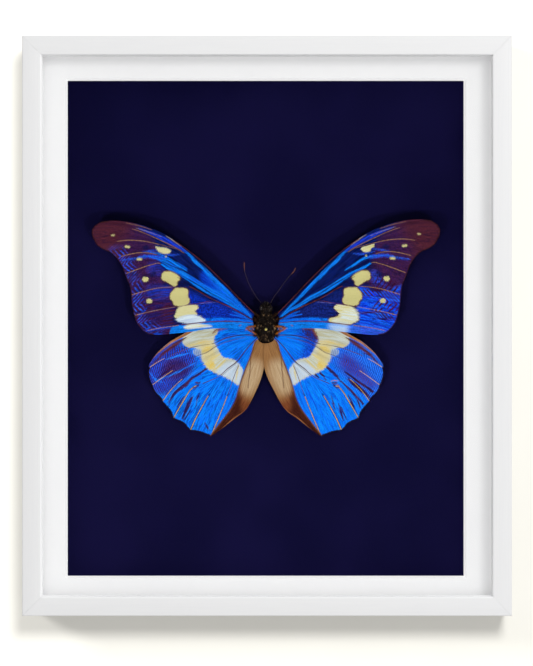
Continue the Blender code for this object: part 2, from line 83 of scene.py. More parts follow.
# Light and stage. A light is its angles across and up in degrees, its size, and what it adds to white.
AMBIENT = 0.7
MIRRORED_LIGHT = 0.02  # that the glass finds straight ahead
MIRROR_EDGE = (-0.97, -0.8)  # where that gives way to the light around it
LIGHT_DISTANCE = 1.2
KEY = (28, 24, 0.36, 0.268)
WALL_KEY = (8, 18, 0.26, 0.67)
WALL_FILL = (-50, 26, 0.3, 0.27)
LEFT_RIM = (85, 20, 0.2, 0.03)
BOTTOM_RIM = (0, 84, 0.2, 0.028)
MAT_KEY = (28, 24, 0.36, 0.15)
MAT_FILL = (-3, -6, 0.4, 0.23)
SPECIMEN_LIGHT = (34, -32, 0.22, 0.25)
BOARD_LIGHT = (30, -34, 0.16, 0.5)
STAGE_SIZE = 3.0
FLOOR_HEIGHT = -0.42
WALL_WHITE = (0.75, 0.735, 0.68)
WALL_GAP = 0.4  # millimetres behind the frame
FLOOR_WHITE = (0.8, 0.8, 0.8)
FLOOR_GLOW = 0.05

# Rails, in millimetres
FACE_WIDTH = 7.7
RABBET_WALL = 3.7
LIP_DEPTH = 6
RAIL_ROUNDING = 0.55
BACK_BEVEL = 0.2
MITRE_GAP = 0.02

# Wings, in millimetres from the pin
STEPS = 170
LANES = 26
LANE_WIDTH = 6  # typical distance between veins, for patterns that run along them
FOREWING_DEPTH = 13.8
FOREWING_STRETCH = {"left": 0.98, "right": 0.993}
LOBE_LEAN = {"left": (0.3, 15.45), "right": (-1.3, 15.15)}  # of the inner margin, and the wing's depth
LEAN_HEIGHTS = (-38, -24, -16, -8, -5.6)  # where the inner margin leans, and how much of the way
LEAN_SHARES = (0, 0.5, 1, 1, 0.6)
WING_THICKNESS = 0.16
WING_PLEAT = 0.3
WING_BOW = 0.5
WING_RUFFLE = 0.05
RUFFLE_PACE = (9, 25)  # radians from lane to lane, and from root to margin
TUBE_SIDES = 8
SIDES = {"left": -1, "right": 1}
OUTSIDE = -99.0  # depth of a point that is far outside a pattern's form
REACH = 7  # a pattern's softest edge reaches less far than this beyond its form
ONLY_IN_EDGE = 9  # how much sharper an edge that cuts a pattern off is than the pattern's own

# Body, antennae and pin, in millimetres from the pin. The body's outline is half widths and heights.
BODY_DEPTH = 15
BODY_FLATTENING = 0.84
BODY_OUTLINE = (
    (0.05, 10.7), (1.1, 10.5), (1.9, 9.8), (2.2, 8.6), (2.15, 7.3), (2.1, 6.5), (2.7, 5.6), (3.3, 4.4),
    (3.7, 2.8), (3.8, 0.8), (3.7, -1.0), (3.2, -2.7), (2.3, -3.9), (1.2, -4.4), (0.05, -4.5),
)
BODY_ROWS = 64
BODY_SIDES = 48
EYE_RADIUS = 1.15
EYE_PLACE = (1.7, 14.5, 8.5)
EYE_SIDES = 24
EYE_STRETCH = (0.92, 1, 1.1)
SKIN_LUMPS = (1.1, 0.22)  # their size and height
PALP = ((0.75, 14.2, 9.6), (0.6, 12.7, 10.4), (0.45, 12.0, 11.6))
PALP_RADII = (0.3, 0.42, 0.08)
PALP_RINGS = 12
PALP_SIDES = 10
HAIRS = 6500
HAIR_POINTS = 7  # of one hair
HEAD_HEIGHT = 6.2  # above it hair is short and lies forward
HEAD_HAIR, THORAX_HAIR = 0.5, 0.85
HEAD_LAY, THORAX_LAY = (0, -0.1, 0.3), (0, -0.1, -0.75)
FUR_SPOTS = 90  # small tan clumps among the dark hair
FUR_SPOT_SIZE = 0.2
PALE_TUFTS = (  # place across and up, reach, and how light
    (-0.8, 5.8, 0.45, 0.9), (1.0, 5.8, 0.45, 1.0), (-3.3, 0.7, 0.4, 1.0), (3.4, 0.7, 0.4, 1.0),
    (-2.9, 1.8, 0.5, 0.7), (2.9, 1.6, 0.5, 0.7), (0.0, -2.6, 0.5, 0.6), (-1.1, -2.2, 0.4, 0.5),
)
TUFT_FLATTENING = (1, 0.3, 1)  # hair scatters less in depth
ROOT_TUFTS = (  # from and to as across, depth and up; spread, how many hairs, how light
    ((2.6, 13.9, 4.9), (5.2, 13.7, 7.2), 0.28, 190, 0.1),
    ((3.3, 13.8, 3.2), (6.0, 13.7, 5.0), 0.3, 190, 0.1),
    ((3.4, 13.8, 1.6), (5.0, 13.7, 1.4), 0.3, 110, 0.1),
    ((3.4, 13.9, -0.6), (4.8, 13.9, -0.8), 0.3, 110, 0.1),
    ((3.9, 13.3, 1.3), (7.4, 13.0, 0.8), 0.2, 80, 0.7),
    ((3.9, 13.4, -2.0), (7.8, 13.0, 0.2), 0.2, 120, 0.75),
    ((6.4, 13.1, 0.9), (8.0, 13.0, 0.2), 0.25, 50, 0.8),
    ((5.0, 13.2, 0.8), (5.8, 13.1, -0.6), 0.2, 30, 0.6),
    ((3.2, 14.2, -1.6), (4.9, 14.4, -3.0), 0.3, 110, 0.15),
)
ANTENNAE = {
    "left": ((-1.9, 10.7), (-3.7, 12.8), (-5.9, 16.4), (-7.5, 19.7), (-8.5, 22.9), (-8.8, 25.2),
             (-8.8, 27.3)),
    "right": ((1.9, 10.7), (3.0, 12.8), (5.3, 16.0), (7.7, 19.3), (10.0, 22.1), (11.3, 23.5),
              (12.0, 25.0)),
}
ANTENNA_DEPTHS = (14.2, 12.4)
ANTENNA_RADIUS = 0.09
ANTENNA_STEPS = 200
ANTENNA_RINGS = 40
ANTENNA_SIDES = 10
ANTENNA_RING_SWELL = 0.09
CLUB_PLACE, CLUB_LENGTH, CLUB_SWELL = 0.92, 0.09, 1.1
PIN_HEAD_DEPTH = 10.4
PIN_HEAD_RADIUS = 0.62
PIN_RADIUS = 0.2
PIN_TIP_DEPTH = 20.6
PIN_POINT = 1.2
PIN_SIDES = 20

# Right wings. Each row is one vein line from its root to the margin, then the margin's points up to the next.
FOREWING = (
    ([(4.7, 6.5), (9.8, 11.7), (17.9, 20.3), (26.0, 28.2), (34.1, 34.5), (42.3, 39.8), (50.4, 43.0),
      (57.7, 44.6), (64.2, 44.9)], [(67.1, 44.4)]),
    ([(5.0, 5.3), (9.8, 10.5), (17.9, 18.9), (26.0, 26.4), (34.1, 32.1), (44.3, 37.6), (53.7, 41.4),
      (62.6, 43.0), (69.5, 43.0)], [(70.7, 40.6), (70.1, 37.6)]),
    ([(5.2, 4.8), (13.8, 13.0), (22.0, 19.7), (30.1, 26.4), (35.0, 30.4), (40.2, 33.9), (46.3, 35.9),
      (52.4, 36.8), (58.5, 36.7), (68.5, 34.7)], [(65.9, 33.0), (63.0, 31.7)]),
    ([(5.4, 4.5), (13.8, 11.5), (22.0, 17.0), (30.1, 22.5), (37.4, 27.6), (42.3, 29.8), (45.9, 31.3),
      (50.4, 31.8), (55.3, 31.1), (60.6, 29.6)], [(58.7, 26.6)]),
    ([(5.4, 4.2), (13.8, 9.8), (22.0, 13.9), (28.0, 17.5), (35.0, 21.3), (42.3, 27.0), (46.3, 26.8),
      (51.2, 25.2), (57.3, 22.9)], [(56.1, 19.9), (55.1, 17.0)]),
    ([(5.4, 3.9), (13.8, 8.8), (22.0, 12.6), (30.5, 17.5), (35.0, 17.6), (40.6, 17.4), (46.3, 16.6),
      (54.7, 14.2)], [(54.6, 11.1), (54.1, 8.3)]),
    ([(5.4, 3.5), (13.8, 8.0), (21.1, 11.5), (26.0, 11.0), (32.1, 10.0), (39.4, 8.8), (46.3, 7.5),
      (53.5, 5.7)], [(52.6, 3.0), (51.2, 0.9)]),
    ([(5.1, 2.6), (13.8, 3.3), (22.0, 3.2), (28.0, 2.6), (34.1, 1.8), (42.3, 0.7), (49.6, -0.8)],
     [(48.0, -1.8)]),
    ([(4.7, -0.4), (9.8, 0.2), (17.9, 0.4), (24.0, 0.1), (30.1, -0.9), (36.2, -1.6), (42.3, -2.2),
      (45.9, -2.2)], []),
)
HINDWING = (
    ([(3.9, -1.9), (7.7, 0.8), (13.8, 2.6), (21.1, 3.0), (28.0, 1.2), (34.1, -2.3), (39.0, -5.1),
      (43.5, -9.0), (46.3, -12.4)], [(47.4, -14.1)]),
    ([(3.8, -2.4), (9.8, -2.4), (15.9, -3.4), (21.1, -5.7), (26.0, -6.5), (31.3, -7.7), (37.4, -10.0),
      (43.1, -12.8), (47.7, -15.7)], [(48.0, -17.7), (47.6, -20.2)]),
    ([(3.7, -2.7), (9.8, -3.5), (15.9, -5.0), (20.7, -7.2), (24.0, -9.4), (28.0, -10.8), (34.1, -14.3),
      (40.6, -18.5), (46.5, -22.8)], [(45.7, -25.0), (44.1, -26.9), (42.7, -28.3)]),
    ([(3.6, -3.0), (9.8, -5.1), (15.9, -7.8), (20.3, -10.2), (23.2, -12.2), (27.6, -14.9), (34.1, -20.2),
      (38.6, -24.6), (42.3, -29.5)], [(40.4, -31.5), (38.8, -33.6), (38.2, -35.2)]),
    ([(3.5, -3.4), (7.3, -7.2), (11.6, -12.8), (15.4, -15.8), (19.5, -19.3), (25.2, -21.8), (30.1, -24.0),
      (33.7, -29.3), (37.8, -36.4)], [(35.6, -37.2), (33.3, -38.5), (32.0, -40.1)]),
    ([(3.3, -3.7), (7.0, -7.6), (11.2, -13.0), (14.8, -16.3), (18.7, -20.0), (22.0, -24.6), (25.6, -30.7),
      (28.5, -36.0), (30.8, -41.2)], [(28.0, -41.6), (25.2, -42.5)]),
    ([(3.2, -4.1), (6.5, -8.4), (10.2, -13.3), (11.6, -15.7), (12.9, -18.9), (14.6, -24.0), (16.7, -29.5),
      (19.3, -36.0), (22.4, -43.5)], []),
    ([(2.8, -4.8), (5.5, -10.4), (7.8, -15.7), (9.6, -20.6), (10.8, -25.4), (12.8, -30.7), (15.4, -35.6),
      (18.3, -39.9), (20.9, -42.6)], []),
    ([(1.4, -5.6), (3.7, -11.6), (5.5, -16.5), (6.9, -21.4), (7.9, -25.4), (9.6, -29.9), (12.2, -34.0),
      (14.8, -37.2), (17.3, -39.9)], [(14.8, -37.9)]),
    ([(0.3, -5.7), (0.3, -10.8), (0.6, -15.7), (2.0, -20.6), (3.9, -25.0), (5.9, -29.1), (7.9, -32.3),
      (10.2, -34.5), (12.6, -36.0)], []),
)
# Raised veins: vein line, where along it the vein starts and ends, and its radius at both.
FOREWING_VEINS = (
    (0, 0, 1, 0.2, 0.1), (1, 0, 1, 0.2, 0.08), (2, 0.5, 1, 0.13, 0.07), (3, 0.62, 1, 0.13, 0.07),
    (4, 0.6, 1, 0.13, 0.07), (5, 0, 1, 0.24, 0.07), (6, 0.36, 1, 0.14, 0.07), (7, 0, 1, 0.2, 0.07),
)
HINDWING_VEINS = (
    (0, 0.3, 1, 0.16, 0.1), (1, 0, 1, 0.22, 0.07), (2, 0.4, 1, 0.14, 0.07), (3, 0.4, 1, 0.14, 0.07),
    (4, 0.0, 1, 0.2, 0.07), (5, 0.45, 1, 0.13, 0.07), (6, 0.35, 1, 0.14, 0.08), (7, 0, 1, 0.2, 0.07),
    (8, 0, 1, 0.18, 0.07),
)


def srgb(red, green, blue):
    """A colour of 0 to 255 as linear values."""
    shares = (value / 255 for value in (red, green, blue))
    return tuple(s / 12.92 if s <= 0.04045 else ((s + 0.055) / 1.055) ** 2.4 for s in shares)


AZURE = srgb(8, 128, 255)
SKY = srgb(14, 140, 255)
BRIGHT_BLUE = srgb(8, 100, 246)
BLUE = srgb(16, 62, 198)
DUSK = srgb(12, 34, 122)
INK = srgb(10, 12, 50)
PURPLE = srgb(52, 24, 84)
PLUM = srgb(70, 30, 64)
MAROON = srgb(74, 27, 36)
ROSE_BROWN = srgb(92, 40, 56)
BLOOD = srgb(82, 18, 46)
YELLOW = srgb(195, 187, 121)
CREAM = srgb(206, 204, 164)
WHITE = srgb(206, 222, 230)
PALE_BLUE = srgb(136, 178, 230)
ORANGE = srgb(108, 42, 6)
BROWN = srgb(66, 29, 17)
BLACK = srgb(14, 8, 14)
RIM_BROWNS = (srgb(124, 78, 36), srgb(48, 24, 40))
RAY_MAROONS = (srgb(74, 14, 30), srgb(44, 15, 46))
FOREWING_BLUES, FOREWING_DARK = (srgb(4, 18, 72), srgb(8, 32, 112)), (0.56, 0.58, 0.66)
HINDWING_BLUES, HINDWING_DARK = (srgb(8, 140, 255), srgb(6, 112, 250)), (0.74, 0.76, 0.84)


class Graph:
    """A material's node graph. Its calls add nodes and return sockets."""

    def __init__(self, name):
        self.material = bpy.data.materials.new(name)
        self.material.use_nodes = True
        self.tree = self.material.node_tree
        self.shader = self.tree.nodes["Principled BSDF"]
        self.output = self.tree.nodes["Material Output"]

    def put(self, socket, value):
        if isinstance(value, bpy.types.NodeSocket):
            self.tree.links.new(value, socket)
        elif socket.type == "RGBA" and len(value) == 3:
            socket.default_value = (*value, 1)
        else:
            socket.default_value = value

    def node(self, kind, inputs, **settings):
        made = self.tree.nodes.new(kind)
        for name, value in settings.items():
            setattr(made, name, value)
        for key, value in inputs.items():
            self.put(made.inputs[key], value)
        return made

    def math(self, operation, *values):
        return self.node("ShaderNodeMath", dict(enumerate(values)), operation=operation).outputs[0]

    def times(self, vector, scale):
        """A vector with each of its parts scaled."""
        return self.node("ShaderNodeVectorMath", {0: vector, 1: scale}, operation="MULTIPLY").outputs[0]

    def smooth(self, value, low, high):
        """0 below low, 1 above high, and a soft step between."""
        inputs = {0: value, 1: low, 2: high}
        return self.node("ShaderNodeMapRange", inputs, interpolation_type="SMOOTHSTEP").outputs[0]

    def mix(self, factor, first, second, blend="MIX"):
        inputs = {0: factor, 6: first, 7: second}
        return self.node("ShaderNodeMix", inputs, data_type="RGBA", blend_type=blend).outputs[2]

    def noise(self, vector, scale, detail=2.0, distortion=0.0):
        inputs = {"Vector": vector, "Scale": scale, "Detail": detail, "Distortion": distortion}
        return self.node("ShaderNodeTexNoise", inputs).outputs["Fac"]

    def place(self):
        return self.node("ShaderNodeTexCoord", {}).outputs["Object"]

    def attribute(self, name, output="Fac"):
        return self.node("ShaderNodeAttribute", {}, attribute_name=name).outputs[output]

    def bump(self, height, distance, strength=1.0):
        inputs = {"Height": height, "Distance": distance, "Strength": strength}
        self.put(self.shader.inputs["Normal"], self.node("ShaderNodeBump", inputs).outputs["Normal"])

    def finish(self, **values):
        """Sets the shader's sockets, named as in Blender with _ for a space."""
        for name, value in values.items():
            self.put(self.shader.inputs[name.replace("_", " ")], value)
        return self.material


def lacquer():
    """White satin lacquer that shows the wood's grain faintly."""
    g = Graph("white_lacquer_finish")
    grain = g.noise(g.times(g.place(), (60, 1400, 1400)), 1.0, 4.0)
    peel = g.noise(g.place(), 900, 2.0)
    colour = g.mix(grain, srgb(234, 234, 235), srgb(239, 239, 239))
    g.bump(g.math("ADD", grain, g.math("MULTIPLY", peel, 0.6)), 0.05 * MM, 0.5)
    rough = g.math("MULTIPLY_ADD", peel, 0.12, 0.24)
    return g.finish(Base_Color=colour, Roughness=rough, Specular_IOR_Level=0.12)


def mat_card():
    """White card with a paper surface, and a whiter core where the window is cut."""
    g = Graph("mat_card_finish")
    fibre = g.noise(g.place(), 2600, 4.0)
    cloud = g.noise(g.place(), 60, 3.0)
    face = g.mix(cloud, srgb(236, 236, 237), srgb(240, 240, 240))
    normal = g.node("ShaderNodeNewGeometry", {}).outputs["Normal"]
    facing = g.node("ShaderNodeSeparateXYZ", {0: normal}).outputs["Y"]
    cut = g.smooth(facing, -0.95, -0.8)
    g.bump(fibre, 0.05 * MM, 0.4)
    return g.finish(Base_Color=g.mix(cut, face, (0.97, 0.97, 0.97)), Roughness=0.85, Specular_IOR_Level=0.2)


def navy_paper():
    """Deep navy paper with a fine tooth and faint clouding."""
    g = Graph("navy_paper_finish")
    tooth = g.noise(g.place(), 3200, 3.0)
    cloud = g.noise(g.place(), 22, 2.0)
    colour = g.mix(g.smooth(cloud, 0.35, 0.65), srgb(4, 3, 31), srgb(8, 6, 38))
    colour = g.mix(g.math("MULTIPLY", tooth, 0.25), colour, srgb(13, 10, 50))
    g.bump(tooth, 0.04 * MM, 0.4)
    return g.finish(Base_Color=colour, Roughness=0.7, Specular_IOR_Level=0.02)


def hardboard():
    """Brown pressed fibre."""
    g = Graph("hardboard_finish")
    fibres = g.noise(g.times(g.place(), (1, 1, 2.5)), 700, 6.0, 1.5)
    blotch = g.noise(g.place(), 70, 3.0)
    colour = g.mix(g.smooth(fibres, 0.3, 0.7), srgb(108, 76, 50), srgb(150, 112, 78))
    colour = g.mix(g.math("MULTIPLY", blotch, 0.4), colour, srgb(92, 62, 42))
    g.bump(fibres, 0.12 * MM, 0.6)
    return g.finish(Base_Color=colour, Roughness=0.8)


def zinc_steel():
    """Zinc plate with a dull crystalline bloom and fine brushing."""
    g = Graph("zinc_steel_finish")
    brushed = g.noise(g.times(g.place(), (120, 900, 4200)), 1.0, 3.0)
    bloom = g.noise(g.place(), 500, 2.0)
    colour = g.mix(bloom, srgb(178, 180, 184), srgb(206, 206, 204))
    g.bump(brushed, 0.02 * MM, 0.4)
    rough = g.math("MULTIPLY_ADD", bloom, 0.25, 0.22)
    return g.finish(Base_Color=colour, Roughness=rough, Metallic=1.0)


def pin_brass():
    g = Graph("pin_brass_finish")
    worn = g.noise(g.place(), 2500, 3.0)
    colour = g.mix(worn, srgb(176, 158, 74), srgb(206, 190, 110))
    g.bump(worn, 0.02 * MM, 0.3)
    return g.finish(Base_Color=colour, Roughness=g.math("MULTIPLY_ADD", worn, 0.3, 0.2), Metallic=0.9)


def insect_skin():
    """Near black skin with dusty brown patches."""
    g = Graph("insect_skin_finish")
    patch = g.noise(g.place(), 900, 4.0)
    dust = g.noise(g.place(), 2600, 2.0)
    colour = g.mix(g.smooth(patch, 0.45, 0.7), srgb(12, 10, 12), srgb(40, 32, 28))
    colour = g.mix(g.smooth(dust, 0.62, 0.75), colour, srgb(110, 88, 60))
    g.bump(g.math("ADD", patch, dust), 0.12 * MM, 0.7)
    return g.finish(Base_Color=colour, Roughness=0.6, Specular_IOR_Level=0.06)


def insect_eye():
    """Smooth dark eye with the fine pits of its facets."""
    g = Graph("insect_eye_finish")
    facets = g.node("ShaderNodeTexVoronoi", {"Vector": g.place(), "Scale": 9000.0}).outputs["Distance"]
    cloud = g.noise(g.place(), 700, 2.0)
    g.bump(facets, 0.02 * MM, 0.4)
    return g.finish(Base_Color=g.mix(cloud, srgb(14, 11, 12), srgb(34, 26, 22)), Roughness=0.4,
                    Specular_IOR_Level=0.12)


def insect_hair(name, brown, pale):
    """Hair from near black through brown to a pale colour, by its tone attribute."""
    g = Graph(name)
    tone = g.attribute("tone")
    speck = g.noise(g.place(), 3000, 2.0)
    colour = g.mix(g.smooth(tone, 0.0, 0.5), srgb(10, 8, 9), brown)
    colour = g.mix(g.smooth(tone, 0.4, 1.0), colour, pale)
    colour = g.mix(g.math("MULTIPLY", speck, 0.4), colour, srgb(26, 20, 17))
    return g.finish(Base_Color=colour, Roughness=0.5, Specular_IOR_Level=0.06)


def antenna_finish():
    """Brown thread with paler joints, and an orange brown club."""
    g = Graph("antenna_finish")
    share = g.attribute("share")
    joint = g.math("COSINE", g.math("MULTIPLY", share, 2 * math.pi * ANTENNA_RINGS))
    dust = g.noise(g.place(), 3000, 2.0)
    colour = g.mix(g.smooth(joint, -1.0, 1.0), srgb(26, 17, 26), srgb(48, 31, 33))
    colour = g.mix(g.smooth(share, 0.78, 0.86), colour, srgb(112, 62, 32))
    colour = g.mix(g.math("MULTIPLY", dust, 0.4), colour, srgb(44, 26, 26))
    g.bump(joint, 0.03 * MM, 0.5)
    return g.finish(Base_Color=colour, Roughness=0.5, Specular_IOR_Level=0.3)


def picture_glass():
    """Clear pane: it mirrors faintly, and lets light and shadow through."""
    g = Graph("picture_glass_finish")
    smear = g.noise(g.place(), 35, 2.0)
    g.finish(Base_Color=(1, 1, 1), Transmission_Weight=1.0, IOR=1.15,
             Roughness=g.math("MULTIPLY", smear, 0.02))
    path = g.node("ShaderNodeLightPath", {}).outputs
    lit = g.math("MAXIMUM", path["Is Shadow Ray"], path["Is Diffuse Ray"])
    clear = g.node("ShaderNodeBsdfTransparent", {0: (0.99, 0.99, 0.99)}).outputs[0]
    both = g.node("ShaderNodeMixShader", {0: lit, 1: g.shader.outputs[0], 2: clear})
    g.put(g.output.inputs["Surface"], both.outputs[0])
    return g.material


def stage_white(name, colour, glow):
    """A white surface that shows from its front only."""
    g = Graph(name)
    grain = g.noise(g.place(), 40, 2.0)
    g.finish(Base_Color=g.mix(grain, colour, [part - 0.02 for part in colour]), Roughness=1.0,
             Specular_IOR_Level=0.0, Emission_Color=(1, 1, 1), Emission_Strength=glow)
    behind = g.node("ShaderNodeNewGeometry", {}).outputs["Backfacing"]
    clear = g.node("ShaderNodeBsdfTransparent", {}).outputs[0]
    both = g.node("ShaderNodeMixShader", {0: behind, 1: g.shader.outputs[0], 2: clear})
    g.put(g.output.inputs["Surface"], both.outputs[0])
    return g.material


def new_piece(name, vertices, faces, material, slot, *replaced, smooth_angle=None):
    """A mesh in the row frame; its callers make it ride on the object's one body."""
    mesh = bpy.data.meshes.new(name)
    mesh.from_pydata(vertices, [], faces)
    mesh.materials.append(material)
    mesh.shade_smooth()
    if smooth_angle:
        mesh.set_sharp_from_angle(angle=smooth_angle)
    obj = bpy.data.objects.new(name, mesh)
    bpy.context.scene.collection.objects.link(obj)
    if replaced:
        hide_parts(*replaced)
    return obj


def set_values(obj, name, values):
    """Keeps a number at each of a mesh's points, for its material."""
    made = obj.data.attributes.new(name, "FLOAT", "POINT")
    made.data.foreach_set("value", values.astype(np.float32))


def in_row(x, depth, z):
    """Columns of millimetres from the pin, and depths behind the front, as points in the row frame."""
    x, depth, z = (MM * np.asarray(part) for part in (x, depth, z))
    return np.column_stack([PIN_X + x, FRONT + depth, PIN_Z + z])


def rail_section():
    """Outline of a rail in millimetres: how far in from its outer side, and how deep behind the front."""
    depth = (FRAME_HIGH.y - FRONT) / MM
    radius = RAIL_ROUNDING
    turns = [math.radians(step) for step in range(0, 91, 18)]
    section = [(0, depth - BACK_BEVEL), (0, radius)]
    section += [(radius * (1 - math.cos(t)), radius * (1 - math.sin(t))) for t in turns[1:]]
    section += [(FACE_WIDTH - radius + radius * math.sin(t), radius * (1 - math.cos(t))) for t in turns]
    section += [(FACE_WIDTH, LIP_DEPTH), (RABBET_WALL, LIP_DEPTH), (RABBET_WALL, depth), (BACK_BEVEL, depth)]
    return section


def build_rails(finish):
    """Four mitred rails with rounded edges, closed at the corners."""
    width, _, height = (FRAME_HIGH - FRAME_LOW) / MM
    section = rail_section()
    count = len(section)
    sides = (("top", width, height, 0), ("right", height, width, 90), ("bottom", width, height, 180),
             ("left", height, width, 270))
    for side, length, across, turn in sides:
        ends = []
        for sign in (-1, 1):
            ends += [(sign * (length / 2 - inward - MITRE_GAP) * MM, FRONT + deep * MM,
                      (across / 2 - inward) * MM) for inward, deep in section]
        faces = [(i, (i + 1) % count, count + (i + 1) % count, count + i) for i in range(count)]
        faces += [tuple(reversed(range(count))), tuple(range(count, 2 * count))]
        rail = new_piece(f"rail_{side}", ends, faces, finish, "white_lacquer", f"frame_{side}",
                         smooth_angle=math.radians(40))
        rail.location = (FRAME_CENTRE.x, 0, FRAME_CENTRE.z)
        rail.rotation_euler = (0, math.radians(turn), 0)
        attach(rail, "root")


def curve_parts(knots, steps):
    """A Catmull-Rom curve's stretches between its inner knots, each as a number of points."""
    t = np.arange(steps)[:, None] / steps
    return [0.5 * (2 * b + (c - a) * t + (2 * a - 5 * b + 4 * c - d) * t**2 + (3 * b - a - 3 * c + d) * t**3)
            for a, b, c, d in zip(knots, knots[1:], knots[2:], knots[3:])]


def smooth_curve(points, count):
    """Points evenly spaced along a curve through the given ones."""
    knots = np.array(points, float)
    knots = np.vstack([2 * knots[0] - knots[1], knots, 2 * knots[-1] - knots[-2]])
    dense = np.vstack([*curve_parts(knots, 16), knots[-2]])
    lengths = np.concatenate([[0], np.cumsum(np.linalg.norm(np.diff(dense, axis=0), axis=1))])
    goals = np.linspace(0, lengths[-1], count)
    return np.column_stack([np.interp(goals, lengths, axis) for axis in dense.T])


def line_distance(points, line):
    """Distance of each point to a line, and how far along the line its nearest place is, from 0 to 1."""
    line = np.array(line, float)
    low, high = line.min(axis=0) - REACH, line.max(axis=0) + REACH
    near = ((points > low) & (points < high)).all(axis=1)
    if not near.all():
        best, share = np.full(len(points), -OUTSIDE), np.zeros(len(points))
        if near.any():
            best[near], share[near] = line_distance(points[near], line)
        return best, share
    best, share = np.full(len(points), np.inf), np.zeros(len(points))
    for index, (start, end) in enumerate(zip(line, line[1:])):
        run = end - start
        t = np.clip((points - start) @ run / max(run @ run, 1e-12), 0, 1)
        gap = np.linalg.norm(points - start - t[:, None] * run, axis=1)
        nearer = gap < best
        best = np.where(nearer, gap, best)
        share = np.where(nearer, (index + t) / (len(line) - 1), share)
    return best, share


def area_depth(points, outline):
    """How far inside a closed outline each point lies, and less than 0 outside."""
    closed = np.array([*outline, outline[0]], float)
    inside = np.zeros(len(points), bool)
    x, z = points.T
    for (x0, z0), (x1, z1) in zip(closed, closed[1:]):
        crosses = (z0 > z) != (z1 > z)
        rise = z1 - z0 if z1 != z0 else 1e-9
        inside ^= crosses & (x < x0 + (z - z0) * (x1 - x0) / rise)
    distance, _ = line_distance(points, closed)
    return np.where(inside, distance, -distance)


def round_outline(points):
    """A closed outline with its corners rounded."""
    knots = np.array([*points[-2:], *points, *points[:2]], float)
    return np.vstack(curve_parts(knots, 5)[:len(points)])


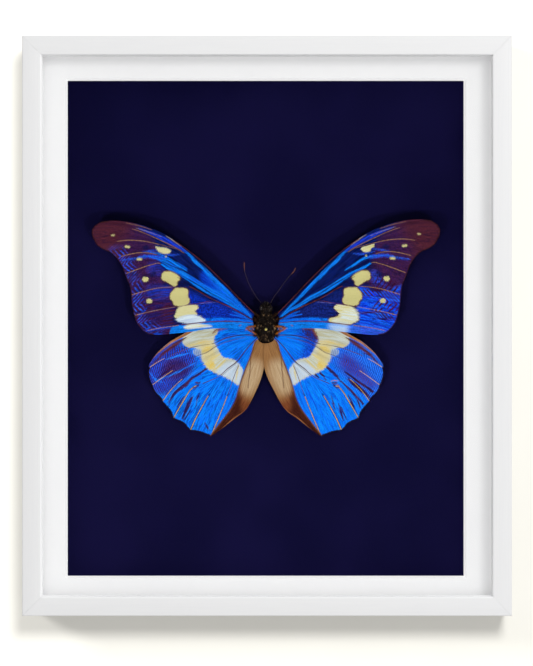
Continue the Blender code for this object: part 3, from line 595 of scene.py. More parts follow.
class Wing:
    """The points of one wing, in millimetres, and how its patterns are laid out."""

    def __init__(self, veins, tubes, lean=0.0):
        """lean moves the inner margin below the body sideways."""
        self.along = np.linspace(0, 1, STEPS + 1)
        self.rays = [smooth_curve(points, STEPS + 1) for points, _ in veins]
        for line, share in ((self.rays[-1], 1.0), (self.rays[-2], 0.5)):
            line[:, 0] += lean * share * np.interp(line[:, 1], LEAN_HEIGHTS, LEAN_SHARES)
        rows, lanes = [], []
        for index, (near, far) in enumerate(zip(self.rays, self.rays[1:])):
            edge = smooth_curve([near[-1], *veins[index][1], far[-1]], LANES + 1)
            for step in range(LANES):
                share = step / LANES
                line = near * (1 - share) + far * share
                rows.append(line + (edge[step] - line[-1]) * self.along[:, None] ** 4)
                lanes.append(index + share)
        rows.append(self.rays[-1])
        lanes.append(len(veins) - 1)
        self.grid = np.array(rows)
        self.lanes = np.array(lanes)
        self.margin = self.grid[:, -1]
        self.lengths = np.linalg.norm(np.diff(self.grid, axis=1), axis=2).sum(axis=1)
        self.build_sheets()
        for tube in tubes:
            self.build_tube(*tube)

    def heights(self, lane, along):
        """Depth against the wing's own plane: pleated between the veins, and bowed forward."""
        pleat = -WING_PLEAT / 2 * np.cos(2 * np.pi * lane) * np.minimum(1, 4 * along)
        across, onward = RUFFLE_PACE
        ruffle = WING_RUFFLE * np.sin(across * lane + onward * along) * np.minimum(1, 3 * along)
        return pleat + ruffle - WING_BOW * np.sin(np.pi * along)

    def build_sheets(self):
        rows, columns = self.grid.shape[:2]
        lane = np.repeat(self.lanes, columns)
        along = np.tile(self.along, rows)
        plan = self.grid.reshape(-1, 2)
        height = self.heights(lane, along)
        half = WING_THICKNESS / 2
        self.plan = np.vstack([plan, plan])
        self.height = np.concatenate([height - half, height + half])
        self.lane = np.tile(lane, 2)
        self.share = np.tile(along, 2)
        self.under = np.repeat([0.0, 1.0], len(plan))
        run = np.repeat(self.lengths, columns) * along
        self.run = np.tile(run, 2)
        index = np.arange(rows * columns).reshape(rows, columns)
        corners = [index[:-1, :-1], index[1:, :-1], index[1:, 1:], index[:-1, 1:]]
        front = np.stack(corners, axis=-1).reshape(-1, 4)
        back = front[:, ::-1] + rows * columns
        rim = np.concatenate([index[0, :-1], index[:-1, -1], index[-1, :0:-1], index[:0:-1, 0]])
        following = np.roll(rim, -1)
        shift = rows * columns
        wall = np.column_stack([rim, following, following + shift, rim + shift])
        self.faces = [front, back, wall]

    def build_tube(self, ray, start, end, thick, thin):
        """A raised vein along part of a vein line, tapered and closed at both ends."""
        first, last = round(start * STEPS), round(end * STEPS)
        line = self.rays[ray][first:last + 1]
        along = self.along[first:last + 1]
        ahead = np.gradient(line, axis=0)
        across = np.column_stack([ahead[:, 1], -ahead[:, 0]])
        across /= np.linalg.norm(across, axis=1)[:, None]
        radius = np.interp(along, [start, end], [thick, thin])
        radius[0] = radius[-1] = 0.01
        turns = 2 * np.pi * np.arange(TUBE_SIDES) / TUBE_SIDES
        plan = line[:, None] + across[:, None] * (radius[:, None] * np.cos(turns))[:, :, None]
        height = self.heights(np.full(len(line), float(ray)), along)
        height = height[:, None] + radius[:, None] * np.sin(turns)
        begin = len(self.plan)
        count = len(line)
        self.plan = np.vstack([self.plan, plan.reshape(-1, 2)])
        self.height = np.concatenate([self.height, height.ravel()])
        self.lane = np.concatenate([self.lane, np.full(count * TUBE_SIDES, float(ray))])
        self.share = np.concatenate([self.share, np.repeat(along, TUBE_SIDES)])
        self.under = np.concatenate([self.under, np.tile(np.sin(turns) > 0.1, count).astype(float)])
        length = self.lengths[min(ray * LANES, len(self.lengths) - 1)]
        self.run = np.concatenate([self.run, np.repeat(along * length, TUBE_SIDES)])
        index = begin + np.arange(count * TUBE_SIDES).reshape(count, TUBE_SIDES)
        ring = np.roll(index, -1, axis=1)
        self.faces.append(np.stack([index[:-1], ring[:-1], ring[1:], index[1:]], axis=-1).reshape(-1, 4))
        self.faces.append(index[0][::-1][None])
        self.faces.append(index[-1][None])

    def depth_in(self, forms):
        """How far inside any of the forms each point lies, in millimetres, and less than 0 outside them."""
        sheet = self.grid.shape[0] * self.grid.shape[1]
        plan = np.vstack([self.plan[:sheet], self.plan[2 * sheet:]])
        depth = np.full(len(plan), OUTSIDE)
        for kind, *form in forms:
            if kind == "only_in":
                depth = np.minimum(depth, area_depth(plan, round_outline(form[0])) * ONLY_IN_EDGE)
                continue
            if kind == "area":
                found = area_depth(plan, round_outline(form[0])) + form[1]
            elif kind == "margin":
                first, last, width = form
                found = width - line_distance(plan, self.margin[first * LANES:last * LANES + 1])[0]
            else:
                if kind == "ray":
                    ray, start, end = form[:3]
                    line = self.rays[ray][round(start * STEPS):round(end * STEPS) + 1:3]
                else:
                    line = smooth_curve(form[0], 24)
                widths = form[-1]
                distance, share = line_distance(plan, line)
                found = np.interp(share, np.linspace(0, 1, len(widths)), widths) / 2 - distance
            depth = np.maximum(depth, found)
        return np.concatenate([depth[:sheet], depth])


def area(*points):
    return ("area", points, 0.0)


def grown(form, by):
    """An area that reaches further out on all sides."""
    return ("area", form[1], by)


def line(widths, *points):
    return ("line", points, widths)


def bolder(times, *lines):
    """The same lines, wider all along."""
    return [("line", points, [times * width for width in widths]) for _, points, widths in lines]


def ray(index, start, end, *widths):
    return ("ray", index, start, end, widths)


def margin(first, last, width):
    return ("margin", first, last, width)


def only_in(*points):
    """Keeps the forms before it inside an outline."""
    return ("only_in", points)


# Patterns, painted one over the other. A layer is its name, the side it is on, its forms, its two colours,
# the grain that mixes them, how soft its edge is and how far the grain frays it in millimetres, and its
# strength. With a grain of threads, rows or chevrons the layer is painted on those alone.
# Some layers hold painted light, each noted where it stands: painted sheen, a painted shadow, painted shade
# and a painted highlight.
BOTH, LEFT, RIGHT = ("left", "right"), ("left",), ("right",)
LINE_GRAINS = ("threads", "rows", "chevron")
FIRST_PALE = ("spot_rims", "band")
SPOT_A = area((34.8, 21.1), (36.6, 22.9), (39.0, 23.9), (41.5, 23.7), (42.3, 22.1), (42.1, 20.5),
    (40.2, 19.7), (38.6, 18.5), (37.2, 17.8), (36.0, 18.5), (36.0, 19.7))
SPOT_B = area((31.7, 16.2), (33.1, 17.0), (35.0, 17.2), (36.6, 17.0), (37.8, 16.0), (38.8, 14.4),
    (38.8, 12.8), (37.8, 11.5), (37.4, 10.3), (35.8, 9.7), (33.7, 9.9), (31.7, 10.3), (31.1, 12.0),
    (31.7, 13.6))
SPOT_C_RIGHT = area((27.8, 9.3), (29.3, 10.1), (31.3, 9.9), (34.1, 9.5), (35.8, 8.3), (36.2, 7.1),
    (37.2, 5.4), (37.4, 4.0), (35.8, 2.8), (33.7, 2.0), (30.9, 2.0), (28.0, 2.6), (26.0, 3.0), (25.2, 3.6),
    (26.0, 4.6), (28.0, 5.0), (29.7, 6.1), (29.1, 7.3), (28.0, 8.1))
SPOT_C_LEFT = area((36.6, 6.7), (35.8, 8.7), (33.3, 9.9), (30.5, 10.3), (28.0, 9.9), (27.6, 8.7),
    (28.9, 7.5), (28.0, 6.3), (30.9, 5.0), (34.1, 3.8), (37.0, 5.0))
SPOT_D_RIGHT = area((38.6, 32.7), (39.0, 33.5), (40.6, 33.9), (42.3, 34.5), (43.9, 34.7), (43.9, 33.9),
    (42.7, 33.1), (42.3, 32.1), (40.6, 31.7), (39.4, 31.9))
SPOT_D_LEFT = area((44.7, 34.3), (43.1, 33.9), (40.6, 33.7), (38.6, 32.5), (39.4, 31.5), (41.5, 31.3),
    (43.5, 32.1), (44.3, 33.1))
SMALL_SPOTS = (
    line((0.6,), (61.8, 39.0), (62.6, 39.0)), line((0.9,), (55.7, 34.1), (56.9, 34.3)),
    line((1.0,), (50.8, 29.0), (52.0, 29.0)), line((2.0,), (48.8, 20.7), (49.2, 20.7)),
    line((1.8,), (47.2, 11.7), (47.6, 11.7)), line((0.5,), (40.6, 30.2), (40.6, 30.0)),
)
OUTER_FOREWING = ((43.1, 27.4), (45.5, 36.3), (51.2, 42.4), (59.3, 46.5), (74.8, 46.5), (74.8, 27.4),
    (58.5, 16.0), (52.8, 15.2), (46.3, 16.0), (41.5, 18.5), (42.7, 23.3))
LOWER_FOREWING = ((37.4, 17.2), (40.6, 16.8), (44.7, 15.2), (48.8, 16.0), (55.7, 18.0), (56.3, 12.0),
    (55.7, 3.8), (51.6, -2.7), (43.1, -3.5), (35.0, -2.7), (35.0, 1.4), (37.4, 3.0), (37.8, 5.9),
    (36.6, 8.7), (37.8, 10.7), (39.0, 13.2))
LOWER_CELL = area((8, 5), (21, 11), (35, 17.3), (33, 10), (27, 4.5), (12, 4.2))
LOBE = ((3.9, -4.3), (6.1, -10.4), (8.5, -16.5), (10.6, -22.6), (12.2, -28.7), (15.0, -33.6), (19.1, -38.9),
    (23.0, -44.5), (18, -47), (8, -38), (1, -29), (-4, -18), (-4, -4))
LOBE_ONLY = only_in(*LOBE)
WHOLE_FOREWING = area((0, -8), (80, -8), (80, 56), (0, 56))
WHOLE_HINDWING = area((-8, 10), (58, 10), (58, -52), (-8, -52))
FOREWING_LAYERS = (
    # The left cell, wedge and lower cell are bright blue and the right lower cell dark navy: painted sheen,
    # the left wing's blue scales catching the light.
    ("cell", LEFT, [
        area((5.7, 5.0), (10.6, 9.9), (16.7, 16.0), (22.8, 21.7), (25.5, 24.0), (26.5, 21.5), (25.5, 18.9),
            (23.5, 15.2), (18.7, 10.7), (12.6, 7.5)),
    ], (srgb(8, 90, 244), srgb(6, 52, 190)), "streak", 1.4, 1.5, 1),
    ("wedge", LEFT, [
        area((6.1, 5.4), (10.6, 11.1), (15.4, 16.8), (19.5, 20.5), (24.0, 24.6), (25.2, 24.1), (22.0, 19.3),
            (18.7, 14.8), (14.6, 11.1), (9.8, 7.5)),
    ], (srgb(10, 122, 255), srgb(8, 96, 246)), "streak", 0.8, 1.0, 1),
    ("lower_cell", RIGHT, [LOWER_CELL], (srgb(13, 28, 98), srgb(28, 46, 138)), "fleck", 1.0, 1.0, 0.8),
    ("lower_cell", LEFT, [LOWER_CELL], (srgb(14, 62, 214), srgb(10, 36, 142)), "fleck", 1.0, 1.0, 0.9),
    ("outer", BOTH, [area(*OUTER_FOREWING)], (PURPLE, PLUM), "fleck", 1.5, 1.5, 1),
    # The lower outer forewing is blue on the right and purple-brown on the left: painted sheen, the same
    # scales lit differently.
    ("outer_low", RIGHT, [
        area(*LOWER_FOREWING),
    ], (srgb(20, 104, 252), srgb(12, 58, 228)), "streak", 0.7, 1.0, 1),
    ("outer_low", LEFT, [
        area(*LOWER_FOREWING),
    ], (srgb(40, 28, 100), srgb(76, 26, 52)), "streak", 0.7, 1.0, 1),
    ("apex", BOTH, [
        area((57.7, 48), (76, 48), (76, 30), (61.8, 27.0), (59.3, 32.3), (58.0, 36.3), (55.1, 41.4)),
    ], (MAROON, ROSE_BROWN), "scales", 4.0, 1.0, 1),
    ("blue_patch", LEFT, [
        area((48.0, 17.6), (43.1, 18.5), (38.2, 16.8), (38.2, 13.6), (43.1, 12.4), (48.0, 13.6)),
        area((47.2, 27.4), (43.1, 27.4), (40.6, 24.1), (43.9, 22.1), (48.0, 24.1)),
    ], (srgb(22, 62, 206), srgb(48, 46, 133)), "streak", 1.6, 2.0, 0.8),
    ("blue_patch", RIGHT, [
        area((42.3, 23.3), (44.7, 24.1), (47.2, 20.9), (50.4, 16.0), (46.3, 17.6), (43.1, 19.3)),
    ], (srgb(26, 84, 236), srgb(48, 46, 133)), "fleck", 1.4, 2.0, 0.9),
    ("scale_rows", BOTH, [
        area(*OUTER_FOREWING),
    ], (srgb(110, 48, 72), srgb(28, 13, 52)), "rows", 1.0, 0.5, 0.5),
    ("chevrons", RIGHT, [
        area((43.1, 19.3), (48.0, 21.7), (54.9, 17.6), (54.1, 12.0), (53.3, 4.6), (48.8, 3.8), (44.7, 5.4),
            (43.1, 9.5), (45.5, 12.8), (39.0, 13.6), (38.6, 16.8)),
    ], (BLOOD, srgb(59, 13, 57)), "chevron", 1.0, 0.8, 1),
    ("chevrons", LEFT, [
        margin(3, 8, 4.5),
    ], (srgb(30, 110, 246), srgb(34, 60, 214)), "chevron", 1.8, 1.5, 0.9),
    ("red_streak", RIGHT, [
        line((0.3, 1.0, 0.8, 0.3), (36.6, 7.1), (39.8, 6.7), (44.7, 7.1), (49.6, 6.7)),
        line((0.2, 0.5, 0.2), (43.1, 4.4), (47.2, 4.2), (51.2, 4.6)),
    ], (BLOOD, srgb(38, 19, 66)), "streak", 0.3, 0.8, 0.9),
    ("low_dashes", LEFT, [
        line((0.3, 0.8, 0.9, 0.3), (48.0, -0.7), (43.1, 0.4), (38.2, 1.0), (33.3, 1.8)),
        line((0.2, 0.8, 0.2), (51.6, 5.4), (50.0, 7.1), (48.4, 8.7)),
        line((0.2, 0.7, 0.2), (48.8, -0.7), (47.6, 0.6), (46.7, 1.4)),
        line((0.3, 0.9, 0.3), (45.9, -1.9), (43.9, -1.9), (42.3, -2.1)),
    ], (srgb(26, 100, 250), BLUE), "streak", 0.25, 0.5, 0.95),
    ("subcostal", BOTH, [
        line((0.4, 1.0, 1.3, 1.6, 1.1, 1.0), (5.7, 5.0), (9.8, 9.3), (13.8, 13.2), (17.9, 17.6),
            (22.0, 21.7), (26.0, 25.8), (29.3, 29.0), (32.1, 31.9), (36.0, 34.6)),
        line((0.3, 0.7, 0.3), (21.5, 20.1), (24.0, 23.3), (26.8, 26.6)),
        line((0.3, 0.6, 0.3), (26.4, 25.4), (28.9, 27.8), (31.3, 30.7)),
    ], (AZURE, SKY), "streak", 0.2, 0.4, 1),
    ("cell_edge", BOTH, [
        line((0.6, 1.5, 1.8, 1.4, 0.8), (6.5, 5.4), (9.8, 7.9), (13.8, 9.9), (17.9, 12.8), (22.0, 14.8),
            (26.0, 17.0), (30.1, 19.8), (34.1, 22.6), (38.2, 24.5), (42.3, 26.8)),
        line((0.4, 1.1, 0.9), (32.1, 24.1), (36.6, 27.0), (39.8, 29.0), (42.7, 29.6)),
    ], (AZURE, SKY), "streak", 0.2, 0.4, 1),
    ("cell_edge_upper", LEFT, [
        line((0.6, 1.4, 1.3, 1.5, 2.0, 1.8, 0.8), (5.7, 4.6), (14.6, 12.8), (24.8, 17.6), (32.9, 22.5),
            (39.0, 26.6), (43.9, 29.4), (47.6, 30.2)),
        line((0.3, 0.8, 0.3), (32.1, 25.0), (38.2, 28.6), (43.1, 31.1), (48.0, 32.3)),
    ], (SKY, BRIGHT_BLUE), "streak", 0.25, 0.6, 1),
    ("outer_cell", BOTH, [
        line((1.5, 1.2, 0.9, 0.5), (42.3, 29.6), (48.4, 30.2), (52.4, 29.4), (58.1, 28.6)),
        line((0.3, 0.6, 0.2), (35.0, 31.1), (39.0, 30.7), (43.9, 31.9)),
        line((0.2, 0.6, 0.3), (43.1, 32.9), (47.2, 32.5), (50.4, 31.9)),
    ], (srgb(24, 130, 252), srgb(44, 60, 226)), "fleck", 0.3, 0.9, 0.95),
    ("costal_blue", BOTH, [
        line((0.6, 1.6, 1.8, 1.1, 0.3), (32.1, 31.9), (36.2, 34.4), (40.6, 36.9), (45.5, 39.4),
            (51.6, 41.8)),
    ], (srgb(20, 76, 240), srgb(34, 48, 190)), "streak", 0.3, 0.4, 1),
    # Thin white lines on and beside the costa: a painted highlight along its edge.
    ("costal_white", BOTH, [
        line((0.2, 0.5, 0.2), (34.6, 34.4), (37.6, 36.7), (40.6, 38.7)),
        line((0.1, 0.25, 0.1), (42.3, 38.2), (47.2, 40.2), (52.8, 42.0)),
    ], (srgb(197, 193, 190), srgb(138, 120, 110)), "fleck", 0.12, 0.4, 0.9),
    ("costal_lines", BOTH, [
        line((0.2, 0.3, 0.2), (34.1, 32.5), (39.8, 35.5), (46.3, 38.4)),
        line((0.2, 0.3, 0.15), (36.6, 33.3), (41.5, 34.7), (48.0, 36.3)),
        line((0.2, 0.4, 0.2), (46.3, 41.2), (51.2, 42.8), (56.9, 44.1)),
    ], (srgb(175, 134, 96), srgb(120, 70, 56)), "fleck", 0.1, 0.2, 0.9),
    ("anal", BOTH, [
        area((5.0, 2.9), (13.8, 3.2), (26.0, 2.9), (33.0, 1.8), (38.0, 0.9), (38.0, -3.0), (26.0, -1.5),
            (5.0, -1.5)),
    ], (srgb(12, 144, 255), srgb(12, 132, 252)), "streak", 0.3, 0.4, 1),
    ("above_anal", BOTH, [
        area((6.0, 3.9), (13.8, 4.6), (19.9, 4.9), (27.0, 4.2), (27.0, 3.0), (13.8, 3.3), (6.0, 3.0)),
        line((0.3, 0.8, 0.2), (6.0, 4.0), (10.6, 6.3), (13.8, 7.5)),
        line((0.3, 0.7, 0.2), (6.0, 3.8), (10.6, 5.4), (14.5, 6.1)),
    ], (AZURE, BRIGHT_BLUE), "streak", 0.25, 0.5, 1),
    ("lilac", RIGHT, [
        area((32.5, 1.6), (36.6, 2.0), (42.3, 1.2), (48.0, 0.0), (48.0, -2.5), (42.3, -3.0), (35.8, -2.1),
            (32.5, -0.7)),
    ], (srgb(40, 120, 255), srgb(70, 96, 244)), "streak", 1.5, 1.0, 0.85),
    ("tan_flecks", BOTH, [
        line((0.35,), (6.1, 1.4), (7.3, 1.0)), line((0.4,), (10.2, 1.8), (10.8, 1.4)),
    ], (srgb(190, 112, 40), srgb(120, 60, 30)), "fleck", 0.2, 0.6, 0.8),
    ("cell_threads", BOTH, [WHOLE_FOREWING], (INK, srgb(6, 10, 57)), "threads", 0.5, 0.2, 0.5),
    ("spot_rims", BOTH, [grown(SPOT_A, 0.45), grown(SPOT_B, 0.45)], RIM_BROWNS, "scales", 0.3, 0.7, 0.85),
    ("spot_c_rim", RIGHT, [grown(SPOT_C_RIGHT, 0.35)], RIM_BROWNS, "scales", 0.3, 0.7, 0.7),
    ("spot_c_rim", LEFT, [grown(SPOT_C_LEFT, 0.35)], RIM_BROWNS, "scales", 0.3, 0.7, 0.7),
    ("spots", BOTH, [SPOT_A, SPOT_B, *SMALL_SPOTS], (YELLOW, srgb(194, 189, 131)), "scales", 0.18, 0.5, 1),
    ("spot_c", RIGHT, [SPOT_C_RIGHT, SPOT_D_RIGHT], (YELLOW, CREAM), "streak", 0.18, 0.6, 1),
    ("spot_c", LEFT, [SPOT_C_LEFT, SPOT_D_LEFT], (YELLOW, CREAM), "scales", 0.18, 0.6, 1),
    ("spot_white", RIGHT, [
        area((30.5, 7.1), (35.0, 8.7), (37.4, 6.7), (37.0, 3.4), (32.5, 2.6), (27.6, 3.0), (26.8, 3.8),
            (30.1, 5.0)),
    ], (WHITE, CREAM), "streak", 0.8, 0.8, 0.8),
    ("spot_white", LEFT, [
        area((36.6, 4.2), (33.7, 5.4), (30.1, 6.1), (26.8, 5.4), (24.4, 3.8), (25.6, 3.0), (30.9, 2.6),
            (35.0, 3.0)),
    ], (WHITE, srgb(180, 198, 220)), "streak", 0.4, 0.7, 1),
    ("white_patch", RIGHT, [
        area((25.8, 1.2), (28.0, 2.0), (31.0, 1.9), (33.0, 1.2), (32.5, -1.2), (27.5, -1.0)),
    ], (WHITE, PALE_BLUE), "streak", 1.9, 1.2, 0.95),
    ("white_patch", LEFT, [
        area((33.3, 0.8), (31.7, 2.0), (28.5, 2.4), (24.8, 2.0), (22.0, 1.2), (26.8, 0.6), (31.7, 0.0)),
    ], (srgb(206, 196, 131), WHITE), "streak", 0.5, 0.7, 1),
    # Dark navy patches on the forewing; the one between spots A and B is a painted shadow.
    ("smudges", BOTH, [
        line((2.0,), (48.4, 33.9), (49.2, 33.7)), line((1.8,), (45.5, 23.3), (46.3, 22.5)),
        line((1.5, 2.4), (32.1, 19.3), (34.6, 18.5)),
    ], (srgb(13, 19, 80), INK), "fleck", 0.7, 0.8, 0.8),
    ("dark_lines", BOTH, [
        line((0.2, 0.35, 0.2), (7, 5.0), (13.8, 8.8), (22, 13.4), (30.5, 18.2), (36, 21.6)),
        line((0.3, 0.8, 0.9, 0.6, 0.3), (6, 7.0), (12, 13.6), (20, 21.6), (27, 28.4), (34, 34.0)),
        line((0.15, 0.35, 0.15), (20, 13.4), (28, 18.6), (36, 23.2)),
        line((0.15, 0.3, 0.15), (21.5, 21.8), (25, 25.4), (29, 29.6)),
        line((0.2, 0.4, 0.2), (34, 24.2), (38, 26.2), (42, 28.2)),
    ], (INK, srgb(6, 10, 48)), "streak", 0.12, 0.15, 0.95),
    ("tan_veins", BOTH, [
        ray(2, 0.66, 0.9, 0.25, 0.4, 0.3), ray(3, 0.74, 0.97, 0.25, 0.38, 0.38),
        ray(4, 0.74, 1, 0.3, 0.4, 0.38), ray(5, 0.68, 1, 0.25, 0.35, 0.4), ray(6, 0.66, 1, 0.2, 0.3, 0.36),
        ray(7, 0.68, 0.97, 0.3, 0.3), ray(1, 0.5, 0.8, 0.2, 0.3),
    ], (srgb(155, 119, 84), srgb(114, 76, 63)), "fleck", 0.1, 0.15, 0.9),
    ("pale_vein", BOTH, [
        line((0.25, 0.35, 0.25), (19.5, 11.3), (26.0, 10.7), (32.5, 9.9)),
    ], (srgb(106, 104, 180), DUSK), "streak", 0.12, 0.15, 0.8),
    ("red_veins", BOTH, [
        ray(5, 0, 0.56, 0.34, 0.4, 0.34), ray(0, 0, 0.62, 0.3, 0.3, 0.25),
    ], (ORANGE, BROWN), "streak", 0.1, 0.15, 0.95),
    ("dark_veins", BOTH, [
        ray(7, 0, 0.66, 0.3, 0.4, 0.3), ray(6, 0.36, 0.6, 0.2, 0.26),
    ], (srgb(106, 42, 38), srgb(66, 32, 66)), "streak", 0.1, 0.15, 0.9),
    ("margin", BOTH, [margin(0, 8, 0.4)], (srgb(63, 28, 28), srgb(28, 11, 19)), "fleck", 0.2, 0.2, 0.9),
)
